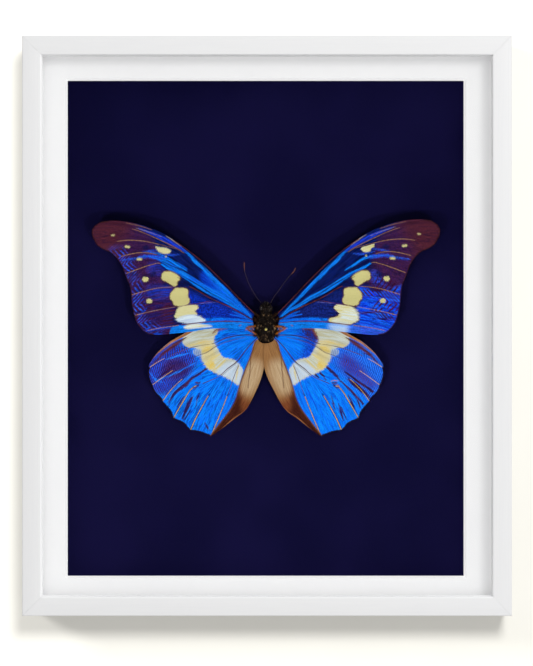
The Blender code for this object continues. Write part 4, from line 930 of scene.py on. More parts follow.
HINDWING_LAYERS = (
    ("inner_deep", RIGHT, [
        area((13.0, 0.2), (21.1, 0.2), (22.4, -6.3), (19.1, -11.2), (13.8, -12.0), (15.4, -6.3)),
    ], (srgb(20, 84, 228), srgb(13, 44, 152)), "fleck", 2.2, 2.0, 0.9),
    # The outer hindwing is azure with maroon ripples on the right and blue with purple ripples on the left:
    # painted sheen, the same scales lit differently.
    ("outer", RIGHT, [
        area((28, -7), (34, -4), (42, -8), (50, -14), (50, -24), (44, -30), (36, -24), (28, -16),
            (26, -12)),
    ], (srgb(40, 132, 255), srgb(26, 66, 190)), "ripple", 2.0, 1.5, 0.95),
    ("outer", LEFT, [
        area((30.5, -9.2), (35.0, -6.3), (40.6, -7.0), (46.5, -10.6), (50.0, -15.7), (48.3, -24.2),
            (41.5, -26.4), (35.0, -22.2), (30.9, -18.1), (28.5, -13.3)),
    ], (srgb(16, 90, 244), srgb(62, 20, 44)), "ripple", 1.5, 1.5, 1),
    ("plum", LEFT, [
        area((40.6, -12.4), (35.0, -11.6), (30.9, -14.9), (32.5, -18.9), (38.2, -20.6), (43.1, -18.1)),
    ], (srgb(82, 32, 56), srgb(32, 24, 84)), "ripple", 2.0, 1.5, 0.85),
    ("ripples", RIGHT, [
        area((31.3, -9.6), (35.0, -10.8), (39.4, -14.9), (43.1, -19.8), (45.9, -22.6), (42.3, -24.2),
            (37.4, -21.0), (32.1, -17.7), (29.3, -13.7)),
    ], (srgb(86, 28, 46), srgb(22, 76, 214)), "ripple", 2.2, 1.8, 0.9),
    ("red_rays", RIGHT, bolder(1.5,
        line((0.3, 0.8, 0.6, 0.3), (23.6, -14.1), (26.4, -16.9), (28.9, -19.3), (30.5, -21.4)),
        line((0.3, 0.7, 0.6), (29.7, -20.2), (35.0, -25.4), (39.4, -30.3)),
        line((0.4, 1.3, 1.0, 0.4), (33.3, -20.2), (37.4, -23.4), (40.6, -26.3), (42.3, -27.9)),
        line((0.3, 0.7, 0.6), (32.1, -17.3), (38.2, -21.8), (43.5, -25.4)),
        line((0.2, 0.6, 0.3), (33.3, -26.7), (34.6, -29.1), (35.8, -32.0)),
        line((0.2, 0.5, 0.2), (37.0, -27.9), (37.8, -30.3), (38.2, -32.4)),
        line((0.2, 0.5, 0.2), (29.3, -30.3), (30.5, -33.6), (31.3, -37.2)),
        line((0.2, 0.4, 0.2), (30.5, -31.5), (31.7, -34.4), (32.5, -36.8)),
        line((0.2, 0.5, 0.2), (26.4, -27.1), (27.2, -29.5), (28.0, -32.4)),
        line((0.2, 0.6, 0.2), (21.1, -16.5), (23.2, -18.9), (24.4, -20.6)),
        line((0.2, 0.6, 0.2), (18.7, -16.9), (20.3, -18.5), (21.5, -19.8)),
        line((0.2, 0.5, 0.2), (39.4, -9.6), (42.3, -10.4), (44.3, -12.0)),
    ), RAY_MAROONS, "streak", 0.2, 0.5, 0.95),
    ("red_rays", LEFT, bolder(1.4,
        line((0.5, 1.2, 0.9, 1.0, 1.0, 0.3), (23.2, -15.3), (28.5, -18.5), (32.5, -22.2), (37.0, -25.9),
            (39.8, -29.9)), line((0.2, 0.5, 0.2), (30.1, -20.2), (32.5, -23.0), (35.8, -25.0)),
        line((0.3, 1.2, 0.9, 0.3), (29.7, -27.1), (31.7, -31.1), (33.3, -34.8), (34.1, -36.4)),
        line((0.2, 0.5, 0.2), (30.9, -32.8), (32.1, -35.2), (33.3, -36.8)),
        line((0.2, 0.5, 0.2), (27.2, -25.9), (28.0, -28.7), (28.5, -31.5)),
        line((0.2, 0.6, 0.2), (24.8, -38.0), (24.0, -39.7), (22.8, -41.3)),
        line((0.2, 0.6, 0.2), (32.5, -26.7), (34.6, -29.1), (36.2, -31.5)),
        line((0.2, 0.5, 0.2), (43.9, -19.8), (40.6, -17.3), (37.4, -14.9)),
    ), RAY_MAROONS, "streak", 0.2, 0.5, 0.95),
    ("blue_rays", LEFT, [
        line((0.3, 0.9, 0.8, 0.3), (24.5, -15.3), (32.3, -20.3), (40.1, -27.0)),
        line((0.3, 0.7, 0.5, 0.2), (29.0, -13.7), (37.0, -17.9), (45.1, -21.0)),
        line((0.2, 0.6, 0.2), (28.0, -9.6), (34.5, -10.4), (41.0, -12.4)),
        line((0.2, 0.8, 0.3), (42.0, -21.6), (44.8, -20.6), (46.8, -18.2)),
    ], (srgb(14, 104, 255), srgb(30, 140, 255)), "streak", 0.2, 0.6, 0.9),
    ("deep_rays", BOTH, [
        line((0.2, 0.5, 0.2), (22.4, -24.2), (24.8, -27.9), (26.4, -31.1)),
        line((0.2, 0.4, 0.2), (12.6, -23.0), (14.2, -28.7), (17.1, -34.4)),
        line((0.2, 0.5, 0.2), (16.3, -23.0), (18.7, -27.9), (21.1, -33.6)),
        line((0.2, 0.4, 0.2), (24.4, -22.2), (27.6, -26.3), (30.9, -30.7)),
    ], (srgb(10, 60, 190), srgb(14, 80, 222)), "streak", 0.3, 0.5, 0.8),
    ("threads", RIGHT, [WHOLE_HINDWING], (srgb(8, 40, 150), srgb(10, 28, 110)), "threads", 0.5, 0.2, 0.3),
    ("threads", LEFT, [WHOLE_HINDWING], (srgb(8, 30, 130), srgb(10, 20, 90)), "threads", 0.5, 0.2, 0.55),
    ("dark_patch", RIGHT, [
        area((15.0, 0.4), (16.3, 1.6), (19.6, 1.4), (21.0, -1.5), (21.3, -4.0), (18.7, -4.1), (16.3, -2.4)),
    ], (srgb(25, 42, 142), srgb(57, 38, 66)), "fleck", 0.8, 1.2, 0.9),
    ("band", BOTH, [
        area((19.1, 2.4), (19.7, -1.1), (20.7, -2.7), (21.1, -4.3), (20.9, -5.9), (20.3, -6.7),
            (19.3, -8.4), (18.5, -10.0), (17.1, -11.4), (15.0, -11.8), (13.0, -12.4), (11.6, -13.7),
            (10.2, -15.1), (9.3, -16.5), (9.8, -18.9), (10.4, -21.0), (10.6, -22.6), (11.8, -22.4),
            (13.4, -21.4), (14.6, -20.6), (15.9, -19.8), (17.5, -18.9), (19.5, -18.3), (21.5, -17.3),
            (23.6, -16.1), (24.4, -14.9), (25.2, -13.7), (26.2, -12.0), (26.4, -10.0), (28.9, -7.6),
            (31.3, -7.4), (33.5, -6.1), (34.1, -4.7), (33.1, -2.1), (28.0, 1.0), (24.0, 2.8)),
    ], (srgb(190, 198, 189), srgb(182, 180, 150)), "streak", 0.25, 0.7, 1),
    ("band_gold", BOTH, [
        area((21.4, -4.8), (26.6, -5.4), (26.2, -10.6), (23.6, -14.6), (19.8, -11.4), (20.8, -8.2)),
    ], (srgb(208, 188, 116), srgb(198, 188, 142)), "streak", 1.6, 0.8, 0.8),
    ("band_low", BOTH, [
        area((9.8, -17.3), (12.2, -13.3), (17.1, -14.1), (20.3, -17.3), (17.1, -18.9), (13.0, -21.0),
            (10.6, -22.2)),
    ], (srgb(180, 200, 220), srgb(194, 204, 213)), "streak", 1.0, 0.8, 0.9),
    ("patch_edge", RIGHT, [
        line((0.4, 0.9, 1.2, 0.9, 0.4), (15.0, 0.2), (18.3, 0.4), (19.7, -1.1), (20.7, -3.1), (21.3, -4.7)),
    ], (srgb(142, 74, 32), srgb(91, 42, 28)), "scales", 0.4, 0.8, 0.9),
    ("patch_edge", LEFT, [
        line((0.4, 1.2, 1.0, 0.4), (21.5, -1.5), (20.3, -0.4), (18.3, 0.2), (15.9, 0.6)),
    ], (srgb(152, 82, 36), srgb(91, 42, 28)), "scales", 0.4, 0.8, 0.9),
    ("window", BOTH, [
        area((26.4, -8.4), (28.0, -7.8), (29.3, -8.4), (29.5, -9.8), (28.0, -10.8), (26.6, -10.4)),
    ], (srgb(106, 133, 180), srgb(166, 180, 194)), "ripple", 0.5, 0.6, 0.9),
    ("yellow", BOTH, [
        area((21.1, -13.3), (22.8, -13.0), (24.4, -13.9), (24.0, -15.3), (22.4, -16.3), (20.7, -15.7)),
        line((0.3, 0.8, 0.3), (18.7, -9.8), (22, -12.2), (25, -14.2)),
        line((0.3, 0.7, 0.3), (16, -11.9), (19.5, -15.2), (21.6, -17.2)),
        line((0.2, 0.6, 0.2), (11.2, -15.0), (11.8, -18.0), (12.3, -20.6)),
        line((0.3, 0.8, 0.3), (21.1, -4.7), (26, -5.2), (32, -6.9)),
        line((0.6, 2.2, 1.0), (22, -7.2), (24, -8), (25.6, -9)),
    ], (srgb(210, 182, 92), srgb(204, 190, 128)), "streak", 0.4, 0.6, 1),
    ("costal_tan", BOTH, [
        line((0.6, 1.0, 1.3, 0.9, 0.6, 0.5), (19.1, 2.4), (24.0, 1.9), (29.3, -0.1), (32.9, -2.1),
            (37.6, -4.6), (41.8, -7.6), (45.2, -10.6), (47.6, -13.7), (48.2, -15.7)),
    ], (srgb(171, 119, 74), srgb(142, 87, 53)), "streak", 0.2, 0.4, 1),
    ("costal_brown", BOTH, [
        line((0.4, 1.5, 1.4, 0.7, 0.2), (32.6, -3.4), (35.0, -4.9), (39.4, -8.0), (43.0, -11.0),
            (46.0, -14.6)),
    ], (srgb(99, 42, 32), srgb(66, 25, 32)), "streak", 0.4, 0.6, 0.95),
    # Dark bands along the outer hindwing veins: painted shade beside the raised veins.
    ("vein_flanks", BOTH, [
        ray(3, 0.72, 1, 0.4, 0.5), ray(4, 0.64, 1, 0.6, 0.7, 0.6), ray(5, 0.64, 1, 0.5, 0.7, 0.7),
        ray(6, 0.58, 1, 0.4, 0.6, 0.6),
    ], (srgb(5, 26, 92), srgb(14, 16, 56)), "streak", 0.25, 0.3, 0.85),
    ("tan_veins", BOTH, [
        ray(3, 0.74, 1, 0.13, 0.2), ray(4, 0.66, 1, 0.22, 0.26, 0.2), ray(5, 0.66, 1, 0.15, 0.24, 0.26),
        ray(6, 0.6, 1, 0.13, 0.22, 0.26), ray(2, 0.78, 1, 0.14, 0.22), ray(1, 0.84, 1, 0.14, 0.22),
    ], (srgb(246, 200, 8), srgb(190, 140, 16)), "fleck", 0.08, 0.15, 1),
    ("swirl", RIGHT, [
        line((0.2, 0.4, 0.2), (26.4, -21.2), (27.6, -20.8), (29.3, -21.0)),
        line((0.2, 0.4, 0.2), (28.5, -22.4), (29.3, -22.8), (30.1, -23.8)),
    ], (srgb(226, 158, 20), srgb(150, 100, 40)), "fleck", 0.12, 0.3, 0.9),
    ("swirl_dark", BOTH, [
        line((0.8, 0.8), (27.2, -21.8), (28.5, -21.8)),
        line((0.3, 0.5, 0.3), (27.6, -23.0), (28.9, -23.8), (29.7, -23.4)),
    ], (srgb(23, 15, 38), BLOOD), "fleck", 0.3, 0.5, 0.8),
    ("red_veins", BOTH, [
        ray(4, 0, 0.6, 0.28, 0.3, 0.26), ray(6, 0.3, 0.58, 0.2, 0.2),
    ], (srgb(104, 38, 26), srgb(66, 30, 50)), "streak", 0.1, 0.15, 0.95),
    ("dark_veins", BOTH, [
        ray(1, 0, 0.42, 0.4, 0.5, 0.3), ray(2, 0.1, 0.42, 0.16, 0.3), ray(1, 0.42, 0.8, 0.2, 0.26),
        ray(2, 0.42, 0.6, 0.22, 0.22), ray(7, 0, 0.3, 0.4, 0.6, 0.3),
    ], (srgb(19, 13, 48), srgb(91, 63, 76)), "streak", 0.12, 0.15, 0.85),
    ("margin", BOTH, [margin(1, 6, 0.5)], (BLACK, srgb(28, 11, 19)), "fleck", 0.2, 0.3, 1),
    ("lobe", BOTH, [area(*LOBE)], (srgb(152, 110, 68), srgb(134, 94, 56)), "streak", 0.2, 0.25, 1),
    ("lobe_light", BOTH, [
        area((2.4, -13.3), (7.3, -13.3), (10.6, -23.0), (9.8, -26.3), (5.3, -25.4), (1.6, -18.1)),
        LOBE_ONLY,
    ], (srgb(190, 166, 131), srgb(173, 145, 109)), "streak", 2.6, 1.0, 0.9),
    ("lobe_brown", BOTH, [
        area((4.1, -31.1), (8.9, -27.5), (13.0, -24.6), (26.0, -45.0), (17.9, -49.0), (5.7, -39.3)),
        LOBE_ONLY,
    ], (srgb(124, 68, 37), srgb(96, 46, 26)), "streak", 2.6, 1.2, 0.95),
    ("lobe_maroon", BOTH, [
        area((10.6, -27.1), (13.8, -27.1), (30.1, -45.0), (17.9, -49.0), (8.9, -38.5), (9.8, -32.0)),
        LOBE_ONLY,
    ], (srgb(46, 15, 13), srgb(66, 27, 19)), "streak", 1.8, 1.0, 0.95),
    ("lobe_lines", BOTH, [
        line((0.4, 0.6, 0.9, 0.9, 0.8), (4.1, -4.6), (6.1, -10.4), (8.5, -16.5), (10.6, -22.6),
            (12.2, -28.7), (15.0, -33.6), (19.1, -38.9), (22.0, -42.5)),
        line((0.2, 0.5, 0.2), (6.1, -9.2), (6.5, -16.5), (7.3, -23.8)),
    ], (srgb(106, 61, 27), srgb(61, 25, 19)), "streak", 0.25, 0.3, 0.8),
    ("lobe_rim", BOTH, [
        line((0.2, 0.5, 0.7, 0.4), (5.7, -30.3), (8.9, -33.6), (12.6, -36.0), (18.7, -41.3)),
    ], (srgb(171, 115, 70), srgb(133, 74, 42)), "streak", 0.2, 0.3, 0.9),
)


def wing_grains(g, flow):
    """Patterns that follow the wing's lanes, each from 0 to 1. flow holds millimetres across, along and off
    the middle of a lane."""
    parts = g.node("ShaderNodeSeparateXYZ", {0: flow}).outputs
    run, off = parts["Y"], parts["Z"]
    plane = g.times(flow, (1, 1, 0))
    wander = g.noise(g.times(plane, (0.35, 0.35, 1)), 1.0, 2.0)
    ripple = g.math("SINE", g.math("MULTIPLY_ADD", run, 8.2, g.math("MULTIPLY", wander, 11)))
    rows = g.math("SINE", g.math("MULTIPLY_ADD", run, 9.5, g.math("MULTIPLY", wander, 6)))
    fan = g.math("MULTIPLY_ADD", off, 1.3, run)
    chevron = g.math("SINE", g.math("MULTIPLY_ADD", fan, 3.6, g.math("MULTIPLY", wander, 5)))
    ridge = g.math("ABSOLUTE", g.math("SUBTRACT", g.noise(g.times(plane, (1.15, 0.09, 1)), 1.0, 2.0), 0.5))
    scales = g.noise(plane, 3.4, 1.0)
    return {
        "streak": g.smooth(g.noise(g.times(plane, (1.9, 0.13, 1)), 1.0, 3.0), 0.4, 0.6),
        "ripple": g.smooth(ripple, -0.6, 0.6),
        "rows": g.math("MULTIPLY", g.smooth(rows, 0.0, 0.8), g.smooth(scales, 0.4, 0.6)),
        "fleck": g.smooth(g.noise(plane, 1.6, 3.0), 0.4, 0.6),
        "scales": g.smooth(scales, 0.35, 0.65),
        "threads": g.smooth(ridge, 0.05, 0.012),
        "chevron": g.math("MULTIPLY", g.smooth(chevron, 0.15, 0.6), g.smooth(wander, 0.3, 0.5)),
    }


def wing_finish(name, base, dark, layers):
    """Scales in streaks along the veins, with the layers painted over them by their depth attributes. The
    coarse sparkle, down to dark, lies under the pale patterns."""
    g = Graph(name)
    grains = wing_grains(g, g.attribute("flow", "Vector"))
    colour = g.mix(grains["streak"], *base)
    spark = g.smooth(g.noise(g.attribute("flow", "Vector"), 2.1, 2.0), 0.36, 0.64)
    for layer, _, _, colours, grain, soft, fray, strength in layers:
        if layer in FIRST_PALE:
            colour = g.mix(1.0, colour, g.mix(spark, dark, (1, 1, 1)), "MULTIPLY")
        ragged = g.math("ADD", grains["fleck" if grain in LINE_GRAINS else grain], grains["scales"])
        frayed = g.math("MULTIPLY_ADD", ragged, fray / 2, -fray / 2)
        depth = g.math("ADD", g.attribute(f"depth_{layer}"), frayed)
        mask = g.math("MULTIPLY", g.smooth(depth, -soft, soft), strength)
        if grain in LINE_GRAINS:
            mask = g.math("MULTIPLY", mask, grains[grain])
            grain = "fleck"
        colour = g.mix(mask, colour, g.mix(grains[grain], *colours))
    colour = g.mix(1.0, colour, g.mix(grains["scales"], (0.88, 0.88, 0.9), (1, 1, 1)), "MULTIPLY")
    under = g.mix(grains["fleck"], srgb(104, 78, 52), srgb(70, 50, 36))
    colour = g.mix(g.attribute("under"), colour, under)
    g.bump(g.math("ADD", grains["streak"], grains["scales"]), 0.05 * MM, 0.5)
    return g.finish(Base_Color=colour, Roughness=0.4, Specular_IOR_Level=0.02)


def build_wing(kind, side, wing, depth, stretch, base, dark, layers):
    """stretch scales the wing's heights."""
    name = f"{kind}_{side}"
    layers = [layer for layer in layers if side in layer[1]]
    points = in_row(SIDES[side] * wing.plan[:, 0], depth + wing.height, stretch * wing.plan[:, 1])
    faces = [tuple(face) for group in wing.faces for face in group.tolist()]
    if side == "left":
        faces = [face[::-1] for face in faces]
    finish = wing_finish(f"{name}_scales", base, dark, layers)
    obj = new_piece(f"{name}_scaled", points.tolist(), faces, finish, "wing_scales", name)
    off = LANE_WIDTH * np.abs(wing.lane % 1 - 0.5)
    flow = np.column_stack([wing.lane * LANE_WIDTH, wing.run, off])
    made = obj.data.attributes.new("flow", "FLOAT_VECTOR", "POINT")
    made.data.foreach_set("vector", flow.astype(np.float32).ravel())
    set_values(obj, "under", wing.under)
    for layer in layers:
        set_values(obj, f"depth_{layer[0]}", wing.depth_in(layer[2]))
    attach(obj, "root")


def build_wings():
    forewing = Wing(FOREWING, FOREWING_VEINS)
    for side in SIDES:
        build_wing("forewing", side, forewing, FOREWING_DEPTH, FOREWING_STRETCH[side],
                   FOREWING_BLUES, FOREWING_DARK, FOREWING_LAYERS)
        lean, depth = LOBE_LEAN[side]
        hindwing = Wing(HINDWING, HINDWING_VEINS, lean)
        build_wing("hindwing", side, hindwing, depth, 1.0, HINDWING_BLUES, HINDWING_DARK, HINDWING_LAYERS)


BODY_LINE = smooth_curve(BODY_OUTLINE, BODY_ROWS)


def ring_faces(count, sides):
    """Faces between rings of points, closed at both ends."""
    index = np.arange(count * sides).reshape(-1, sides)
    following = np.roll(index, -1, axis=1)
    sheet = np.stack([index[:-1], following[:-1], following[1:], index[1:]], axis=-1).reshape(-1, 4)
    return [*map(tuple, sheet.tolist()), tuple(index[0][::-1].tolist()), tuple(index[-1].tolist())]


def tube_points(centres, radii, sides):
    """Rings of points around a line in three dimensions, and the faces between them, closed at both ends."""
    centres, radii = np.array(centres, float), np.array(radii, float)
    ahead = np.gradient(centres, axis=0)
    ahead /= np.linalg.norm(ahead, axis=1)[:, None]
    across = np.cross(ahead, (0.0, 1.0, 0.0))
    across /= np.linalg.norm(across, axis=1)[:, None]
    upward = np.cross(across, ahead)
    turns = 2 * np.pi * np.arange(sides) / sides
    rings = centres[:, None] + radii[:, None, None] * (across[:, None] * np.cos(turns)[:, None]
                                                      + upward[:, None] * np.sin(turns)[:, None])
    return rings.reshape(-1, 3), ring_faces(len(centres), sides)


def joined(parts):
    """Several sets of points and faces as one."""
    points, faces = [], []
    for part_points, part_faces in parts:
        shift = sum(len(p) for p in points)
        points.append(part_points)
        faces += [tuple(i + shift for i in face) for face in part_faces]
    return np.vstack(points), faces


def on_body(row, turn):
    """A place on the body and its outward direction. Rows run from the head down."""
    slopes = np.gradient(BODY_LINE[:, 0]) / np.gradient(BODY_LINE[:, 1])
    width, height, slope = (np.interp(row, np.arange(BODY_ROWS), values) for values in (*BODY_LINE.T, slopes))
    depth = BODY_DEPTH - width * BODY_FLATTENING * np.sin(turn)
    place = np.stack([width * np.cos(turn), depth, height], axis=-1)
    outward = np.stack([np.cos(turn), -np.sin(turn) / BODY_FLATTENING, -slope], axis=-1)
    outward /= np.linalg.norm(outward, axis=-1)[..., None]
    return place, outward


def lumps(places, size, amount):
    return amount * np.array([noise.noise(Vector(p) / size) for p in places])


def build_body(finish, eye_finish):
    """Head and thorax with a lumpy skin, two palps, and two eyes."""
    turns = 2 * np.pi * np.arange(BODY_SIDES) / BODY_SIDES
    rows, turns = np.meshgrid(np.arange(BODY_ROWS), turns, indexing="ij")
    place, outward = on_body(rows.ravel(), turns.ravel())
    place = place + outward * lumps(place, *SKIN_LUMPS)[:, None]
    index = np.arange(len(place)).reshape(BODY_ROWS, BODY_SIDES)
    following = np.roll(index, -1, axis=1)
    skin = np.stack([index[:-1], index[1:], following[1:], following[:-1]], axis=-1).reshape(-1, 4)
    faces = [*map(tuple, skin.tolist()), tuple(index[0].tolist()), tuple(index[-1][::-1].tolist())]
    radii = np.interp(np.arange(PALP_RINGS), (0, 5, PALP_RINGS - 1), PALP_RADII)
    palps = [tube_points(smooth_curve(np.array(PALP) * (sign, 1, 1), PALP_RINGS), radii, PALP_SIDES)
             for sign in SIDES.values()]
    points, faces = joined([(place, faces), *palps])
    body = new_piece("body_core", in_row(*points.T).tolist(), faces, finish, "insect_body", "body")
    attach(body, "root")
    for side, sign in SIDES.items():
        x, deep, height = EYE_PLACE
        turns = np.linspace(0, np.pi, 15)
        line = np.column_stack([EYE_RADIUS * np.cos(turns), 0 * turns, 0 * turns])
        points, faces = tube_points(line, EYE_RADIUS * np.maximum(np.sin(turns), 0.02), EYE_SIDES)
        points = points * EYE_STRETCH + (sign * x, deep, height)
        eye = new_piece(f"eye_{side}", in_row(*points.T).tolist(), faces, eye_finish, "insect_body")
        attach(eye, "root")


def hair_points(roots, heads, bends, lengths, radii):
    """Thin bent cones. Each starts at its root, heads one way and bends towards another."""
    count = len(roots)
    middle = roots + heads * lengths[:, None] * 0.5
    onward = heads + bends
    onward /= np.linalg.norm(onward, axis=1)[:, None]
    tips = middle + onward * lengths[:, None] * 0.5
    across = np.cross(heads, (0.31, 0.87, 0.38))
    across /= np.linalg.norm(across, axis=1)[:, None]
    upward = np.cross(across, heads)
    turns = 2 * np.pi * np.arange(3) / 3
    spokes = across[:, None] * np.cos(turns)[:, None] + upward[:, None] * np.sin(turns)[:, None]
    spokes = spokes * radii[:, None, None]
    points = np.concatenate([roots[:, None] + spokes, middle[:, None] + 0.75 * spokes, tips[:, None]], axis=1)
    pattern = [(0, 1, 4, 3), (1, 2, 5, 4), (2, 0, 3, 5), (3, 4, 6), (4, 5, 6), (5, 3, 6)]
    faces = [tuple(HAIR_POINTS * hair + corner for corner in face)
             for hair in range(count) for face in pattern]
    return points.reshape(-1, 3), faces


def build_fur(finish):
    """Short hair on the head, and longer hair that lies back over the thorax."""
    chance = np.random.default_rng(5)
    count = HAIRS
    weights = BODY_LINE[:, 0] + 0.3
    rows = chance.choice(BODY_ROWS, count, p=weights / weights.sum()) + chance.random(count) - 0.5
    rows = np.clip(rows, 0, BODY_ROWS - 1)
    turns = chance.uniform(-0.6, np.pi + 0.6, count)
    roots, outward = on_body(rows, turns)
    swirl = chance.normal(0, 0.35, (count, 3))
    head = roots[:, 2] > HEAD_HEIGHT
    back = np.where(head[:, None], HEAD_LAY, THORAX_LAY)
    heads = outward + back + swirl
    heads /= np.linalg.norm(heads, axis=1)[:, None]
    bends = back * 1.4 + chance.normal(0, 0.3, (count, 3))
    lengths = np.where(head, HEAD_HAIR, THORAX_HAIR) * chance.uniform(0.6, 1.25, count)
    radii = chance.uniform(0.028, 0.05, count)
    spots = roots[chance.choice(count, FUR_SPOTS, replace=False)]
    gaps = np.linalg.norm(roots[:, None] - spots, axis=2)
    glow = chance.uniform(0.35, 0.95, FUR_SPOTS) * np.exp(-(gaps / FUR_SPOT_SIZE) ** 2)
    tone = chance.uniform(0.02, 0.16, count) + glow.max(axis=1) * np.where(head, 0.5, 1.0)
    for x, height, reach, light in PALE_TUFTS:
        gap = np.hypot(roots[:, 0] - x, roots[:, 2] - height) / reach
        tone = np.maximum(tone, light * np.exp(-gap**2))
    make_hair("body_fur", finish, roots, heads, bends, lengths, radii, tone)


def make_hair(name, finish, roots, heads, bends, lengths, radii, tone):
    points, faces = hair_points(roots, heads, bends, lengths, radii)
    hair = new_piece(name, in_row(*points.T).tolist(), faces, finish, "insect_body")
    set_values(hair, "tone", np.repeat(tone, HAIR_POINTS))
    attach(hair, "root")


def build_root_tufts(finish):
    """Tan and orange hair that spreads from the thorax over the roots of the wings."""
    chance = np.random.default_rng(11)
    for side, sign in SIDES.items():
        roots, heads, lengths, tone = [], [], [], []
        for start, end, spread, count, light in ROOT_TUFTS:
            start, end = np.array(start), np.array(end)
            share = chance.random((count, 1))
            scatter = chance.normal(0, spread, (count, 3)) * TUFT_FLATTENING
            roots.append(start + (end - start) * share * 0.75 + scatter)
            heads.append(end - start + chance.normal(0, 0.6, (count, 3)) * TUFT_FLATTENING)
            lengths.append(chance.uniform(0.7, 1.4, count))
            tone.append(np.clip(light + chance.normal(0, 0.16, count), 0, 1))
        roots, heads = np.vstack(roots) * (sign, 1, 1), np.vstack(heads) * (sign, 1, 1)
        heads /= np.linalg.norm(heads, axis=1)[:, None]
        lengths, tone = np.concatenate(lengths), np.concatenate(tone)
        bends = chance.normal(0, 0.3, roots.shape) * TUFT_FLATTENING
        make_hair(f"root_tuft_{side}", finish, roots, heads, bends, lengths, np.full(len(roots), 0.04), tone)


def build_antennae(finish):
    """Ringed threads that thicken to a club."""
    for side, places in ANTENNAE.items():
        line = smooth_curve(places, ANTENNA_STEPS)
        share = np.linspace(0, 1, ANTENNA_STEPS)
        depth = ANTENNA_DEPTHS[0] + (ANTENNA_DEPTHS[1] - ANTENNA_DEPTHS[0]) * share
        club = np.exp(-((share - CLUB_PLACE) / CLUB_LENGTH) ** 2)
        ringed = 1 + ANTENNA_RING_SWELL * np.cos(2 * np.pi * ANTENNA_RINGS * share)
        radii = ANTENNA_RADIUS * (1 + CLUB_SWELL * club) * ringed * np.clip((1 - share) * 45, 0.05, 1)
        points, faces = tube_points(np.column_stack([line[:, 0], depth, line[:, 1]]), radii, ANTENNA_SIDES)
        antenna = new_piece(f"antenna_{side}_ringed", in_row(*points.T).tolist(), faces, finish,
                            "insect_body", f"antenna_{side}")
        set_values(antenna, "share", np.repeat(share, ANTENNA_SIDES))
        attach(antenna, "root")


def build_pin(finish):
    """A ball head on a thin shaft that goes through the thorax into the board."""
    turns = np.linspace(0, np.pi * 0.93, 16)
    depth = PIN_HEAD_DEPTH - PIN_HEAD_RADIUS * np.cos(turns)
    radii = np.maximum(PIN_HEAD_RADIUS * np.sin(turns), 0.01)
    depths = (*depth, depth[-1] + 0.05, PIN_TIP_DEPTH - PIN_POINT, PIN_TIP_DEPTH)
    points = []
    turns = 2 * np.pi * np.arange(PIN_SIDES) / PIN_SIDES
    for deep, radius in zip(depths, (*radii, PIN_RADIUS, PIN_RADIUS, 0.02)):
        ring = (radius * np.cos(turns), np.full(PIN_SIDES, deep), radius * np.sin(turns))
        points.append(np.column_stack(ring))
    faces = ring_faces(len(depths), PIN_SIDES)
    pin = new_piece("pin_turned", in_row(*np.vstack(points).T).tolist(), faces, finish,
                    "pin_brass", "pin", smooth_angle=math.radians(50))
    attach(pin, "root")


def build_camera():
    data = bpy.data.cameras.new("camera")
    data.sensor_width = SENSOR
    data.lens = SENSOR * CAMERA_DISTANCE / PHOTO_HEIGHT
    camera = bpy.data.objects.new("camera", data)
    across, up = CAMERA_OFFSET
    camera.location = (FRAME_CENTRE.x + across, FRONT - CAMERA_DISTANCE, FRAME_CENTRE.z + up)
    camera.rotation_euler = (math.radians(90), 0, 0)
    bpy.context.scene.collection.objects.link(camera)
    bpy.context.scene.camera = camera


def area_light(name, across, up, size, level, lit, blockers=None):
    """A soft round light off the frame's normal by two angles in degrees. level is what it adds to white that
    faces forward, lit holds the only pieces that it lights, and blockers the only ones that shade it."""
    direction = Vector((math.tan(math.radians(across)), -1, math.tan(math.radians(up)))).normalized()
    data = bpy.data.lights.new(name, "AREA")
    data.shape = "DISK"
    data.size = size
    data.energy = level / -direction.y * (math.pi * LIGHT_DISTANCE) ** 2
    light = bpy.data.objects.new(name, data)
    light.location = FRAME_CENTRE + direction * LIGHT_DISTANCE
    light.rotation_euler = direction.to_track_quat("Z", "Y").to_euler()
    bpy.context.scene.collection.objects.link(light)
    light.light_linking.receiver_collection = group_of(f"{name}_lit", lit)
    if blockers:
        light.light_linking.blocker_collection = group_of(f"{name}_shade", blockers)


def group_of(name, objects):
    group = bpy.data.collections.new(name)
    for obj in objects:
        group.objects.link(obj)
    return group


def build_world():
    """Even soft light, white behind the object, and dark where the glass would mirror it."""
    world = bpy.data.worlds.new("studio")
    bpy.context.scene.world = world
    world.use_nodes = True
    tree = world.node_tree
    background = tree.nodes["Background"]
    path = tree.nodes.new("ShaderNodeLightPath")
    place = tree.nodes.new("ShaderNodeTexCoord")
    parts = tree.nodes.new("ShaderNodeSeparateXYZ")
    tree.links.new(place.outputs["Generated"], parts.inputs[0])
    ahead = tree.nodes.new("ShaderNodeMapRange")
    for index, value in enumerate((*MIRROR_EDGE, MIRRORED_LIGHT, AMBIENT), 1):
        ahead.inputs[index].default_value = value
    tree.links.new(parts.outputs["Y"], ahead.inputs[0])
    mirrored = tree.nodes.new("ShaderNodeMix")
    mirrored.inputs[2].default_value = AMBIENT
    tree.links.new(path.outputs["Is Glossy Ray"], mirrored.inputs[0])
    tree.links.new(ahead.outputs[0], mirrored.inputs[3])
    seen = tree.nodes.new("ShaderNodeMix")
    seen.inputs[3].default_value = 1.0
    tree.links.new(path.outputs["Is Camera Ray"], seen.inputs[0])
    tree.links.new(mirrored.outputs[0], seen.inputs[2])
    background.inputs["Color"].default_value = (1, 1, 1, 1)
    tree.links.new(seen.outputs[0], background.inputs["Strength"])


